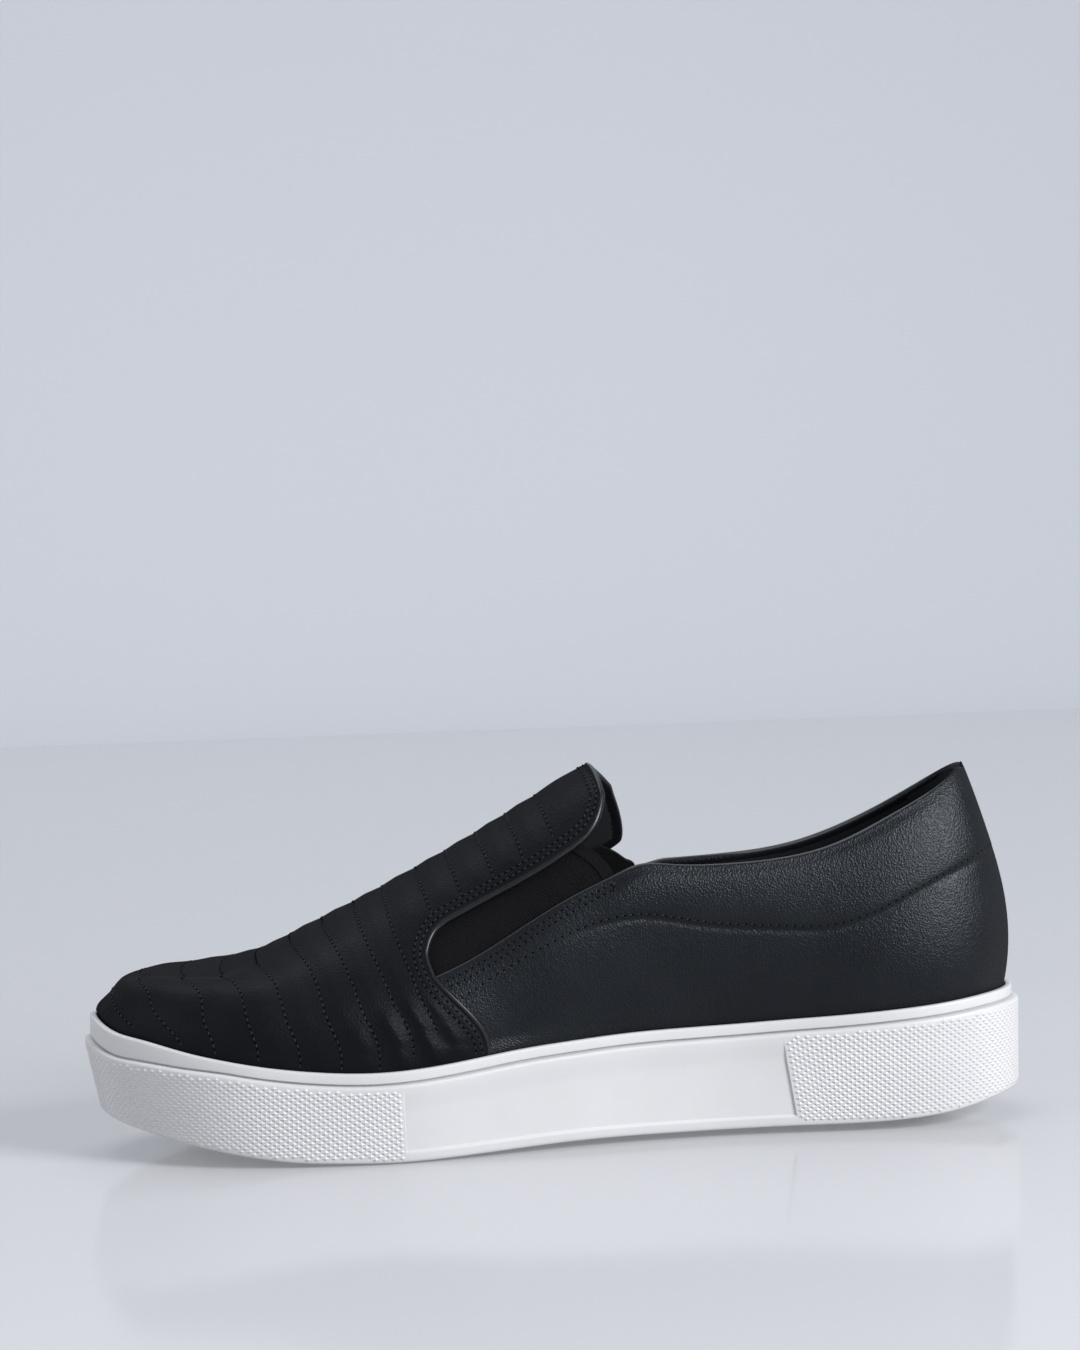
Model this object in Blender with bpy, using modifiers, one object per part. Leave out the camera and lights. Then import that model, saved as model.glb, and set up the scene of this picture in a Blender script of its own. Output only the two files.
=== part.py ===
"""Slip-on platform sneaker for the right foot, empty and unbent.

A rubber cup sole with an inset tread plate carries one hollow leather upper
with a raised tab at the instep, two elastic gores behind its side slots and
a loose insole.

Axes: the toe points to -X, the heel to +X, +Y is the outer side of the
foot and +Z is up. The origin is on the floor, under the middle of the box.
"""
import math

import bmesh
import bpy
import numpy as np

# Main sizes, in metres
SOLE_LENGTH = 0.266
BALL_WIDTH = 0.098
HEEL_STACK = 0.0366
BALL_STACK = 0.0251
TOE_STACK = 0.0392
HEEL_RISE = 0.0632
INSTEP_RISE = 0.0735

# Cup sole: the rim round the upper, the band, groove and wall under it
BAND_INSET = 0.0016
BAND_HEIGHT = 0.0029
TOE_BAND_HEIGHT = 0.0058
RIM_WALL = 0.0018
RIM_EDGE = 0.0004
CUP_DEPTH = 0.0070
GROOVE_DEPTH = 0.0011
GROOVE_HEIGHT = 0.0006
SHOULDER_HEIGHT = 0.0024
SHOULDER_ROUND = 0.0009
PANEL_RECESS = 0.0006
PANEL_FADE = 0.0045
BORDER_HEIGHT = 0.0024
EDGE_ROUND = 0.0009
EDGE_WALL = 0.0036
STEP_RUN = 0.0006
TOE_TAPER = 0.0042
SIDE_TAPER = 0.0016
HEEL_TAPER = 0.0004

# Places along the foot, from the back of the heel
REAR_BUMPER_END = 0.0715
FRONT_BUMPER_END = 0.1800
TOE_TAPER_START = 0.205
HEEL_TAPER_END = 0.050
BAND_GROWTH_START = 0.226
BAND_GROWTH_END = 0.262

# Tread plate under the cup. Its rim follows the cup's lower edge, and it
# falls from there to its flats at TREAD_FALL across for one down.
TREAD_RIM = 0.0026
TREAD_FALL = 5.2
TREAD_GROOVE = 0.0012
TREAD_GROOVE_WIDTH = 0.0022
GROOVE_FLOOR = 0.7
HEEL_GROOVE_COUNT = 6
HEEL_GROOVE_START = 0.030
HEEL_GROOVE_PITCH = 0.0098
BALL_GROOVE_COUNT = 9
BALL_GROOVE_START = 0.156
BALL_GROOVE_PITCH = 0.0103
WAIST_START = 0.088
WAIST_END = 0.146
WAIST_LIFT = 0.0009
WAIST_RUN = 0.006
HEEL_BEVEL_LENGTH = 0.050
HEEL_BEVEL_LIFT = 0.0072
HEEL_BEVEL_POWER = 1.3
TOE_SPRING_START = 0.195
TOE_SPRING = 0.0122
TOE_SPRING_POWER = 1.5

# Walls and clearances
QUARTER_WALL = 0.0017
VAMP_WALL = 0.0025
COLLAR_WALL = 0.0030
GORE_WALL = 0.0012
GORE_SEAM = 0.0035
INSOLE_THICKNESS = 0.0036
INSOLE_EDGE = 0.0008
GAP = 0.0003

FEATHER_INSET = BAND_INSET + RIM_WALL + GAP
TUCK = CUP_DEPTH - GAP
VAMP_STEP = VAMP_WALL - QUARTER_WALL

# Sole outline: place along the foot as a share of its length, and the
# reach to the inner and the outer side as shares of the ball width
OUTLINE = (
    # place, inner, outer
    (0.038, 0.230, 0.230),
    (0.128, 0.327, 0.332),
    (0.263, 0.311, 0.342),
    (0.414, 0.321, 0.383),
    (0.545, 0.393, 0.464),
    (0.684, 0.464, 0.510),
    (0.774, 0.459, 0.485),
    (0.846, 0.436, 0.427),
    (0.902, 0.377, 0.350),
    (0.951, 0.288, 0.243),
    (0.981, 0.206, 0.140),
)
TIP_REACH = 0.043

# Top line of the sole: how much of the heel's and of the toe's extra
# height over the ball is left at a place along the foot
TOP_LINE = (
    # place, heel_part, toe_part
    (0.000, 1.00, 0.00),
    (0.038, 0.98, 0.00),
    (0.090, 0.88, 0.00),
    (0.165, 0.75, 0.00),
    (0.241, 0.64, 0.00),
    (0.316, 0.565, 0.00),
    (0.376, 0.53, 0.00),
    (0.436, 0.495, 0.00),
    (0.496, 0.415, 0.00),
    (0.553, 0.315, 0.00),
    (0.583, 0.235, 0.00),
    (0.643, 0.072, 0.00),
    (0.699, 0.00, 0.00),
    (0.771, 0.00, 0.068),
    (0.816, 0.00, 0.176),
    (0.861, 0.00, 0.318),
    (0.906, 0.00, 0.485),
    (0.951, 0.00, 0.680),
    (0.985, 0.00, 0.840),
    (1.000, 0.00, 1.000),
)

# Lower edge of the cup's side: height over the floor at the back of the
# heel, the waist and the toe, and where each applies
EDGE_HEEL = 0.0080
EDGE_WAIST = 0.0021
EDGE_BALL = 0.0004
EDGE_TOE = 0.0122
EDGE_LINE = (
    # place, heel_part, waist_part, toe_part
    (0.000, 1.00, 0.00, 0.00),
    (0.038, 0.87, 0.05, 0.00),
    (0.075, 0.60, 0.15, 0.00),
    (0.113, 0.35, 0.42, 0.00),
    (0.150, 0.20, 0.62, 0.00),
    (0.207, 0.08, 0.85, 0.00),
    (0.263, 0.03, 1.00, 0.00),
    (0.376, 0.00, 1.00, 0.00),
    (0.496, 0.00, 0.97, 0.00),
    (0.564, 0.00, 0.62, 0.00),
    (0.639, 0.00, 0.15, 0.00),
    (0.695, 0.00, 0.00, 0.00),
    (0.740, 0.00, 0.00, 0.030),
    (0.786, 0.00, 0.00, 0.087),
    (0.816, 0.00, 0.00, 0.170),
    (0.868, 0.00, 0.00, 0.360),
    (0.914, 0.00, 0.00, 0.560),
    (0.966, 0.00, 0.00, 0.815),
    (1.000, 0.00, 0.00, 1.000),
)

# Sections of the upper from the back of the heel to the tip of the toe.
# foot: where the section stands on the sole, edge: where it crosses the
# collar or the side slot, both as shares of the length. reach: how far out
# the edge is, as a share of the ball width. rise: height of the edge over
# the sole, as a share of the rise at the heel. flare and lean: slope of
# the wall at its foot and at the edge, in degrees.
INNER_SIDE = (
    # foot, edge, reach, rise, flare, lean
    (0.000, 0.0545, 0.000, 1.010, 12.5, 13.0),
    (0.006, 0.0575, 0.066, 1.004, 12.5, 13.0),
    (0.027, 0.0700, 0.133, 0.996, 13.0, 13.0),
    (0.075, 0.1000, 0.190, 0.936, 14.0, 12.0),
    (0.143, 0.1500, 0.234, 0.845, 15.0, 11.0),
    (0.220, 0.2180, 0.266, 0.742, 14.0, 9.0),
    (0.298, 0.2960, 0.288, 0.708, 13.0, 8.0),
    (0.370, 0.3700, 0.301, 0.714, 12.0, 9.0),
    (0.425, 0.4192, 0.306, 0.733, 11.0, 12.0),
    (0.464, 0.4568, 0.314, 0.692, 10.0, 16.0),
    (0.498, 0.5000, 0.327, 0.622, 9.0, 20.0),
    (0.528, 0.5489, 0.339, 0.526, 8.0, 24.0),
    (0.555, 0.5977, 0.353, 0.438, 7.0, 28.0),
    (0.581, 0.6391, 0.367, 0.385, 7.0, 31.0),
    (0.632, 0.6842, 0.383, 0.345, 7.0, 33.0),
    (0.695, 0.7312, 0.396, 0.315, 7.0, 34.0),
    (0.752, 0.7801, 0.394, 0.272, 7.0, 34.0),
    (0.808, 0.8271, 0.384, 0.232, 7.0, 33.0),
    (0.862, 0.8722, 0.342, 0.198, 7.0, 32.0),
    (0.912, 0.9165, 0.287, 0.166, 7.0, 29.0),
    (0.953, 0.9510, 0.211, 0.143, 7.0, 29.0),
    (0.986, 0.9700, 0.129, 0.129, 7.0, 29.0),
    (1.000, 0.9760, 0.044, 0.125, 7.0, 29.0),
)
OUTER_SIDE = (
    # foot, edge, reach, rise, flare, lean
    (0.000, 0.0545, 0.000, 1.010, 12.5, 13.0),
    (0.006, 0.0575, 0.066, 1.001, 12.5, 13.0),
    (0.027, 0.0700, 0.135, 0.962, 13.0, 13.0),
    (0.075, 0.1000, 0.196, 0.885, 14.0, 12.0),
    (0.143, 0.1480, 0.245, 0.783, 15.0, 11.0),
    (0.216, 0.2110, 0.282, 0.692, 14.0, 9.0),
    (0.286, 0.2790, 0.305, 0.654, 13.0, 8.0),
    (0.349, 0.3390, 0.316, 0.643, 12.0, 9.0),
    (0.395, 0.3680, 0.322, 0.642, 11.0, 12.0),
    (0.434, 0.4020, 0.332, 0.612, 10.0, 16.0),
    (0.472, 0.4480, 0.347, 0.548, 9.0, 20.0),
    (0.508, 0.5020, 0.367, 0.465, 8.0, 24.0),
    (0.541, 0.5570, 0.388, 0.388, 7.0, 28.0),
    (0.574, 0.6070, 0.403, 0.342, 7.0, 31.0),
    (0.626, 0.6600, 0.418, 0.316, 7.0, 33.0),
    (0.692, 0.7162, 0.424, 0.296, 7.0, 34.0),
    (0.748, 0.7688, 0.408, 0.266, 7.0, 34.0),
    (0.806, 0.8200, 0.378, 0.234, 7.0, 33.0),
    (0.860, 0.8660, 0.319, 0.201, 7.0, 32.0),
    (0.911, 0.9115, 0.245, 0.170, 7.0, 29.0),
    (0.953, 0.9480, 0.150, 0.146, 7.0, 29.0),
    (0.987, 0.9695, 0.051, 0.130, 7.0, 29.0),
    (1.000, 0.9760, -0.044, 0.125, 7.0, 29.0),
)
# Crest of the vamp: place of each section's top, from the section at the
# back of the tab to the toe, and the turn of the surface's top there
FIRST_CREST_ROW = 8
CREST = (
    # place, turn
    (0.420, 0.0),
    (0.474, 0.0),
    (0.532, 0.0),
    (0.589, 0.0),
    (0.641, 0.0),
    (0.688, 0.0),
    (0.729, 0.0),
    (0.773, 0.0),
    (0.814, 2.0),
    (0.853, 6.0),
    (0.889, 14.0),
    (0.915, 28.0),
    (0.932, 48.0),
    (0.941, 70.0),
    (0.945, 90.0),
)
# Height of the crest over the sole, as a share of the rise at the instep
CREST_LINE = (
    # place, rise
    (0.400, 1.105),
    (0.458, 0.999),
    (0.518, 0.886),
    (0.582, 0.774),
    (0.647, 0.675),
    (0.714, 0.562),
    (0.784, 0.419),
    (0.820, 0.329),
    (0.855, 0.258),
    (0.893, 0.232),
    (0.931, 0.208),
    (0.950, 0.185),
)
CREST_BEND_START = 0.56
CREST_BEND_POWER = 1.6
EDGE_HANDLE = 0.40
CREST_HANDLE = 0.46
FOOT_HANDLE = 0.36
EDGE_FOLLOW = 0.7

# Side slot for the gore: the share of the upper part that is cut away
# over the edge, from the back of the tab to the end of the slot
TAB_ROW = 8.7
SLOT_END_ROW = 13.0
SLOT = (
    # row, opening
    (8.70, 0.540),
    (8.80, 0.455),
    (8.95, 0.375),
    (9.20, 0.310),
    (9.70, 0.268),
    (10.4, 0.250),
    (11.2, 0.260),
    (12.0, 0.268),
    (12.5, 0.235),
    (12.8, 0.155),
    (12.94, 0.075),
    (13.0, 0.000),
)

# On the outer side the tab reaches further down: by this share of the
# slot's opening, between the sections where that starts and ends
OUTER_TAB_WIDER = 0.45
OUTER_TAB_START = (8.75, 9.15)
OUTER_TAB_END = (9.5, 11.0)
GORE_FIRST_ROW = 8.66
GORE_SLANT = 0.94
GORE_LAST_ROW = 13.15

# Where the collar's padding ends and where the quarter sinks under the
# vamp's edge, by section, and the share of the wall's height they take
PADDING_END = (8.0, 10.0)
PADDING_RISE = (0.7, 1.0)
SINK_START = (10.0, 12.3)
SINK_RISE = (0.0, 0.15)
TUCK_LEVELS = (1.0, 0.45)

# How finely the forms are divided
HEEL_COLUMNS = 13
WAIST_COLUMNS = 12
TOE_COLUMNS = 21
HEEL_END_SECTIONS = 5
WAIST_SECTIONS = 6
TOE_END_SECTIONS = 7
LOWER_ROWS = 8
UPPER_ROWS = 8
GORE_COLUMNS = 16
GORE_ROWS = 4

COLOURS = {
    # name: red, green, blue, roughness
    "rubber_white": (0.76, 0.75, 0.74, 0.55),
    "rubber_tread": (0.70, 0.69, 0.67, 0.65),
    "leather_black": (0.012, 0.013, 0.015, 0.40),
    "elastic_black": (0.015, 0.015, 0.017, 0.85),
    "insole_black": (0.020, 0.020, 0.022, 0.90),
}


def smooth(low, high, value):
    """Soft step from 0 at low to 1 at high."""
    share = np.clip((value - low) / (high - low), 0.0, 1.0)
    return share * share * (3.0 - 2.0 * share)


def spline_slopes(knots, values, closed=False):
    """Second derivatives of the smooth curve through the values."""
    count = len(knots)
    matrix = np.zeros((count, count))
    right = np.zeros(values.shape)
    steps = np.diff(knots)
    for i in range(1, count - 1):
        matrix[i, i - 1] = steps[i - 1]
        matrix[i, i] = 2.0 * (steps[i - 1] + steps[i])
        matrix[i, i + 1] = steps[i]
        right[i] = 6.0 * ((values[i + 1] - values[i]) / steps[i]
                          - (values[i] - values[i - 1]) / steps[i - 1])
    if closed:
        matrix[0, 0] = 2.0 * (steps[0] + steps[-1])
        matrix[0, 1] = steps[0]
        matrix[0, count - 2] = steps[-1]
        right[0] = 6.0 * ((values[1] - values[0]) / steps[0]
                          - (values[0] - values[count - 2]) / steps[-1])
        matrix[-1, -1] = 1.0
        matrix[-1, 0] = -1.0
    else:
        matrix[0, 0] = 1.0
        matrix[-1, -1] = 1.0
    return np.linalg.solve(matrix, right)


def make_spline(knots, values, closed=False):
    """Function that reads a smooth curve through values at knots."""
    knots = np.asarray(knots, float)
    values = np.asarray(values, float)
    if values.ndim == 1:
        values = values[:, None]
    bends = spline_slopes(knots, values, closed)

    def read(place):
        place = np.clip(np.atleast_1d(np.asarray(place, float)), knots[0], knots[-1])
        left = np.clip(np.searchsorted(knots, place, side="right") - 1, 0, len(knots) - 2)
        step = (knots[left + 1] - knots[left])[:, None]
        part = (place - knots[left])[:, None] / step
        rest = 1.0 - part
        line = rest * values[left] + part * values[left + 1]
        bend = (rest ** 3 - rest) * bends[left] + (part ** 3 - part) * bends[left + 1]
        return line + bend * step ** 2 / 6.0

    return read


class Outline:
    """The sole's closed outline, read by place along each side."""

    def __init__(self):
        points = [(0.0, 0.0)]
        for place, inner, outer in OUTLINE:
            points.append((place * SOLE_LENGTH, -inner * BALL_WIDTH))
        points.append((SOLE_LENGTH, -TIP_REACH * BALL_WIDTH))
        for place, inner, outer in reversed(OUTLINE):
            points.append((place * SOLE_LENGTH, outer * BALL_WIDTH))
        points.append((0.0, 0.0))
        points = np.array(points)
        steps = np.linalg.norm(np.diff(points, axis=0), axis=1)
        knots = np.concatenate([[0.0], np.cumsum(steps)])
        self.read = make_spline(knots, points, closed=True)
        self.total = knots[-1]
        self.tip = knots[len(OUTLINE) + 1]

    def arc(self, place, side):
        """Distance round the outline to a place along one side."""
        if side < 0:
            samples = np.linspace(0.0, self.tip, 1500)
        else:
            samples = np.linspace(self.total, self.tip, 1500)
        along = np.maximum.accumulate(self.read(samples)[:, 0])
        along = along + np.linspace(0.0, 1e-7, len(along))
        return np.interp(place, along, samples)

    def points(self, arcs, inset):
        """Points of the outline moved inwards, as (from heel, across)."""
        step = 1e-4
        here = self.read(arcs)
        ahead = self.read((np.asarray(arcs) + step) % self.total)
        behind = self.read((np.asarray(arcs) - step) % self.total)
        tangent = ahead - behind
        tangent /= np.linalg.norm(tangent, axis=1)[:, None]
        inward = np.stack([-tangent[:, 1], tangent[:, 0]], axis=1)
        return here + inward * np.asarray(inset).reshape(-1, 1), -inward


OUTLINE_CURVE = Outline()


def read_line(table):
    """Smooth curves through the columns of a table, by place."""
    rows = np.array(table)
    return make_spline(rows[:, 0], rows[:, 1:])


TOP_CURVE = read_line(TOP_LINE)
EDGE_CURVE = read_line(EDGE_LINE)
CREST_CURVE = read_line(CREST_LINE)


def top_height(along):
    """Height of the cup's rim over the floor."""
    parts = TOP_CURVE(np.asarray(along) / SOLE_LENGTH)
    heel = (HEEL_STACK - BALL_STACK) * parts[:, 0]
    toe = (TOE_STACK - BALL_STACK) * parts[:, 1]
    return BALL_STACK + heel + toe


def edge_height(along):
    """Height of the cup's lower edge over the floor."""
    parts = EDGE_CURVE(np.asarray(along) / SOLE_LENGTH)
    heel = (EDGE_HEEL - EDGE_BALL) * parts[:, 0]
    waist = (EDGE_WAIST - EDGE_BALL) * parts[:, 1]
    toe = (EDGE_TOE - EDGE_BALL) * parts[:, 2]
    return EDGE_BALL + heel + waist + toe


def tread_height(along):
    """Height of the tread's flat parts over the floor."""
    along = np.asarray(along)
    bevel = np.clip(1.0 - along / HEEL_BEVEL_LENGTH, 0.0, 1.0) ** HEEL_BEVEL_POWER
    ahead = (along - TOE_SPRING_START) / (SOLE_LENGTH - TOE_SPRING_START)
    spring = np.clip(ahead, 0.0, 1.0) ** TOE_SPRING_POWER
    waist = smooth(WAIST_START, WAIST_START + WAIST_RUN, along)
    waist = waist * (1.0 - smooth(WAIST_END - WAIST_RUN, WAIST_END, along))
    return HEEL_BEVEL_LIFT * bevel + TOE_SPRING * spring + WAIST_LIFT * waist


def tread_top(along):
    """Height of the tread plate's upper face over the floor."""
    return edge_height(along) + TREAD_RIM


def wall_taper(along):
    """How far the wall's foot stands in from its top."""
    along = np.asarray(along)
    heel = 1.0 - smooth(0.0, HEEL_TAPER_END, along)
    toe = smooth(TOE_TAPER_START, SOLE_LENGTH, along)
    return HEEL_TAPER * heel + TOE_TAPER * toe + SIDE_TAPER * (1.0 - heel - toe)


def centre_line(along):
    """Sideways place of the vamp's crest, which bends in to the big toe."""
    share = np.clip(np.asarray(along) / SOLE_LENGTH - CREST_BEND_START, 0.0, 1.0)
    return -TIP_REACH * BALL_WIDTH * (share / (1.0 - CREST_BEND_START)) ** CREST_BEND_POWER


def middle_across():
    """Sideways middle of the sole's outline, where the origin stands."""
    across = OUTLINE_CURVE.read(np.linspace(0.0, OUTLINE_CURVE.total, 2001))[:, 1]
    return (across.min() + across.max()) / 2.0


MIDDLE_ACROSS = middle_across()


def to_frame(along, across, height):
    """From (from heel, across, height) to the part's own frame."""
    along, across, height = np.broadcast_arrays(along, across, height)
    return np.stack([SOLE_LENGTH / 2.0 - along, across - MIDDLE_ACROSS, height], axis=-1)


def sole_arcs():
    """Distances round the outline of the sole's columns, facing in pairs."""
    half = STEP_RUN / 2.0
    rear = OUTLINE_CURVE.arc(REAR_BUMPER_END, -1)
    front = OUTLINE_CURVE.arc(FRONT_BUMPER_END, -1)
    inner = np.concatenate([
        np.linspace(0.0, rear - half, HEEL_COLUMNS),
        np.linspace(rear + half, front - half, WAIST_COLUMNS),
        np.linspace(front + half, OUTLINE_CURVE.tip, TOE_COLUMNS),
    ])
    return pair_arcs(OUTLINE_CURVE.read(inner)[:, 0])


def pair_arcs(places):
    """Distances round the outline to the same places on both sides."""
    inner, outer = (OUTLINE_CURVE.arc(places, side) for side in (-1, 1))
    inner[0] = 0.0
    inner[-1] = OUTLINE_CURVE.tip
    return np.concatenate([inner, outer[::-1][1:-1]])


def skin_loops(mesh, loops):
    """Closed body between two ladders, with the loops in between."""
    rings = [[mesh.verts.new(tuple(point)) for point in loop] for loop in loops]
    count = len(loops[0])
    for upper, lower in zip(rings, rings[1:]):
        for i in range(count):
            j = (i + 1) % count
            mesh.faces.new((upper[i], upper[j], lower[j], lower[i]))
    for ring, flip in ((rings[0], True), (rings[-1], False)):
        half = count // 2
        for i in range(half):
            left_a, left_b = ring[i], ring[i + 1]
            right_a, right_b = ring[-i % count], ring[-(i + 1) % count]
            corners = []
            for vert in (left_a, left_b, right_b, right_a):
                if vert not in corners:
                    corners.append(vert)
            if flip:
                corners.reverse()
            mesh.faces.new(corners)


def finish_object(name, mesh, collection, finish, smooth_angle=40.0, recalc=True):
    """Write a bmesh into a named object with its own material."""
    if recalc:
        bmesh.ops.recalc_face_normals(mesh, faces=mesh.faces[:])
    data = bpy.data.meshes.new(name)
    mesh.to_mesh(data)
    mesh.free()
    data.shade_smooth()
    data.set_sharp_from_angle(angle=math.radians(smooth_angle))
    shape = bpy.data.objects.new(name, data)
    collection.objects.link(shape)
    red, green, blue, roughness = COLOURS[finish]
    material = bpy.data.materials.new(name + "_" + finish)
    material.use_nodes = True
    shader = material.node_tree.nodes["Principled BSDF"]
    shader.inputs["Base Color"].default_value = (red, green, blue, 1.0)
    shader.inputs["Roughness"].default_value = roughness
    shader.inputs["Metallic"].default_value = 0.0
    data.materials.append(material)
    return shape


def build_midsole(collection):
    """Cup sole: rim, inset band, groove, shoulder, bumpers and lower edge."""
    arcs = sole_arcs()
    along = OUTLINE_CURVE.read(arcs)[:, 0]
    half = STEP_RUN / 2.0
    inside = (along > REAR_BUMPER_END - half * 0.5) & (along < FRONT_BUMPER_END + half * 0.5)
    recess = np.where(inside, PANEL_RECESS, 0.0)
    band = BAND_HEIGHT + (TOE_BAND_HEIGHT - BAND_HEIGHT) * smooth(BAND_GROWTH_START, BAND_GROWTH_END, along)
    rim = BAND_INSET + RIM_WALL
    top = top_height(along)
    groove = top - band
    shoulder = groove - GROOVE_HEIGHT
    panel_top = shoulder - SHOULDER_HEIGHT
    edge = edge_height(along)
    panel_foot = edge + EDGE_ROUND + BORDER_HEIGHT
    ceiling = tread_top(along) + GAP
    taper = wall_taper(along)

    def wall_inset(height):
        share = np.clip((shoulder - height) / (shoulder - edge), 0.0, 1.0)
        return taper * share

    rows = [
        (rim, top - CUP_DEPTH),
        (rim, top - RIM_EDGE),
        (rim - RIM_EDGE, top),
        (BAND_INSET + RIM_EDGE, top),
        (BAND_INSET, top - RIM_EDGE),
        (BAND_INSET, groove),
        (BAND_INSET + GROOVE_DEPTH, groove - 0.2 * GROOVE_HEIGHT),
        (BAND_INSET + GROOVE_DEPTH, shoulder + 0.1 * GROOVE_HEIGHT),
        (SHOULDER_ROUND, shoulder),
        (SHOULDER_ROUND * 0.25, shoulder - SHOULDER_ROUND * 0.7),
        (wall_inset(panel_top), panel_top),
        (wall_inset(panel_top - PANEL_FADE) + recess, panel_top - PANEL_FADE),
        (wall_inset(panel_foot) + recess, panel_foot),
        (wall_inset(panel_foot - STEP_RUN), panel_foot - STEP_RUN),
        (wall_inset(edge + EDGE_ROUND), edge + EDGE_ROUND),
        (taper + EDGE_ROUND, edge),
        (taper + EDGE_WALL, edge),
        (taper + EDGE_WALL, ceiling),
    ]
    loops = []
    for inset, height in rows:
        flat, _ = OUTLINE_CURVE.points(arcs, inset + 0.0 * along)
        loops.append(to_frame(flat[:, 0], flat[:, 1], height))
    mesh = bmesh.new()
    skin_loops(mesh, loops)
    return finish_object("midsole", mesh, collection, "rubber_white", 30.0)


def tread_sections():
    """Places along the tread plate, and which of them are groove floors."""
    half = TREAD_GROOVE_WIDTH / 2.0
    sections = []
    for start, pitch, count in (
        (HEEL_GROOVE_START, HEEL_GROOVE_PITCH, HEEL_GROOVE_COUNT),
        (BALL_GROOVE_START, BALL_GROOVE_PITCH, BALL_GROOVE_COUNT),
    ):
        for i in range(count):
            middle = start + i * pitch
            for shift, cut in ((-1.0, 0.0), (-GROOVE_FLOOR, 1.0), (GROOVE_FLOOR, 1.0), (1.0, 0.0)):
                sections.append((middle + shift * half, cut))
    last_heel = HEEL_GROOVE_START + (HEEL_GROOVE_COUNT - 1) * HEEL_GROOVE_PITCH
    last_ball = BALL_GROOVE_START + (BALL_GROOVE_COUNT - 1) * BALL_GROOVE_PITCH
    for start, end, count in (
        (0.0, HEEL_GROOVE_START - 2.0 * half, HEEL_END_SECTIONS),
        (last_heel + 2.0 * half, BALL_GROOVE_START - 2.0 * half, WAIST_SECTIONS),
        (last_ball + 2.0 * half, SOLE_LENGTH, TOE_END_SECTIONS),
    ):
        sections += [(place, 0.0) for place in np.linspace(start, end, count)]
    return np.array(sorted(sections))


def build_outsole(collection):
    """Tread plate in the cup's recess, with grooves across heel and ball."""
    sections = tread_sections()
    arcs = pair_arcs(sections[:, 0])
    cuts = np.concatenate([sections[:, 1], sections[::-1, 1][1:-1]])
    along = OUTLINE_CURVE.read(arcs)[:, 0]
    side = wall_taper(along) + EDGE_WALL + GAP
    foot = side + EDGE_ROUND
    low_rim = edge_height(along) - EDGE_BALL
    reach = foot
    for _ in range(3):
        flat, _ = OUTLINE_CURVE.points(arcs, reach)
        fall = np.clip(low_rim - tread_height(flat[:, 0]), 0.0, None)
        reach = foot + TREAD_FALL * fall
    loops = []
    for inset, height in (
        (side, tread_top(along)),
        (side, low_rim + EDGE_ROUND),
        (foot, low_rim),
    ):
        flat, _ = OUTLINE_CURVE.points(arcs, inset)
        loops.append(to_frame(flat[:, 0], flat[:, 1], height))
    flat, _ = OUTLINE_CURVE.points(arcs, reach)
    loops.append(to_frame(flat[:, 0], flat[:, 1], tread_height(flat[:, 0]) + cuts * TREAD_GROOVE))
    mesh = bmesh.new()
    skin_loops(mesh, loops)
    return finish_object("outsole", mesh, collection, "rubber_tread", 30.0)


def build_insole(collection):
    """Loose insole on the cup's floor, inside the upper's lower edge."""
    arcs = sole_arcs()
    along = OUTLINE_CURVE.read(arcs)[:, 0]
    inset = FEATHER_INSET + VAMP_WALL + 2.0 * GAP
    low = top_height(along) - CUP_DEPTH + GAP
    loops = []
    for more, height in (
        (INSOLE_EDGE, INSOLE_THICKNESS),
        (0.0, INSOLE_THICKNESS - INSOLE_EDGE),
        (0.0, 0.0),
    ):
        flat, _ = OUTLINE_CURVE.points(arcs, np.full(len(arcs), inset + more))
        loops.append(to_frame(flat[:, 0], flat[:, 1], low + height))
    mesh = bmesh.new()
    skin_loops(mesh, loops)
    return finish_object("insole", mesh, collection, "insole_black", 40.0)


def read_ring():
    """Smooth closed curves through the sections of both sides."""
    rows = []
    last = len(INNER_SIDE) - 1
    for table, side, order in (
        (INNER_SIDE, -1, range(0, last + 1)),
        (OUTER_SIDE, 1, range(last - 1, -1, -1)),
    ):
        for i in order:
            foot, edge, reach, rise, flare, lean = table[i]
            arc = OUTLINE_CURVE.arc(foot * SOLE_LENGTH, side)
            rows.append((arc, edge, side * reach, rise, flare, lean))
    rows = np.array(rows)
    knots = np.arange(len(rows), dtype=float)
    rows[:, 0] -= OUTLINE_CURVE.total * knots / knots[-1]
    rows[-1] = rows[0]
    return make_spline(knots, rows, closed=True)


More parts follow.
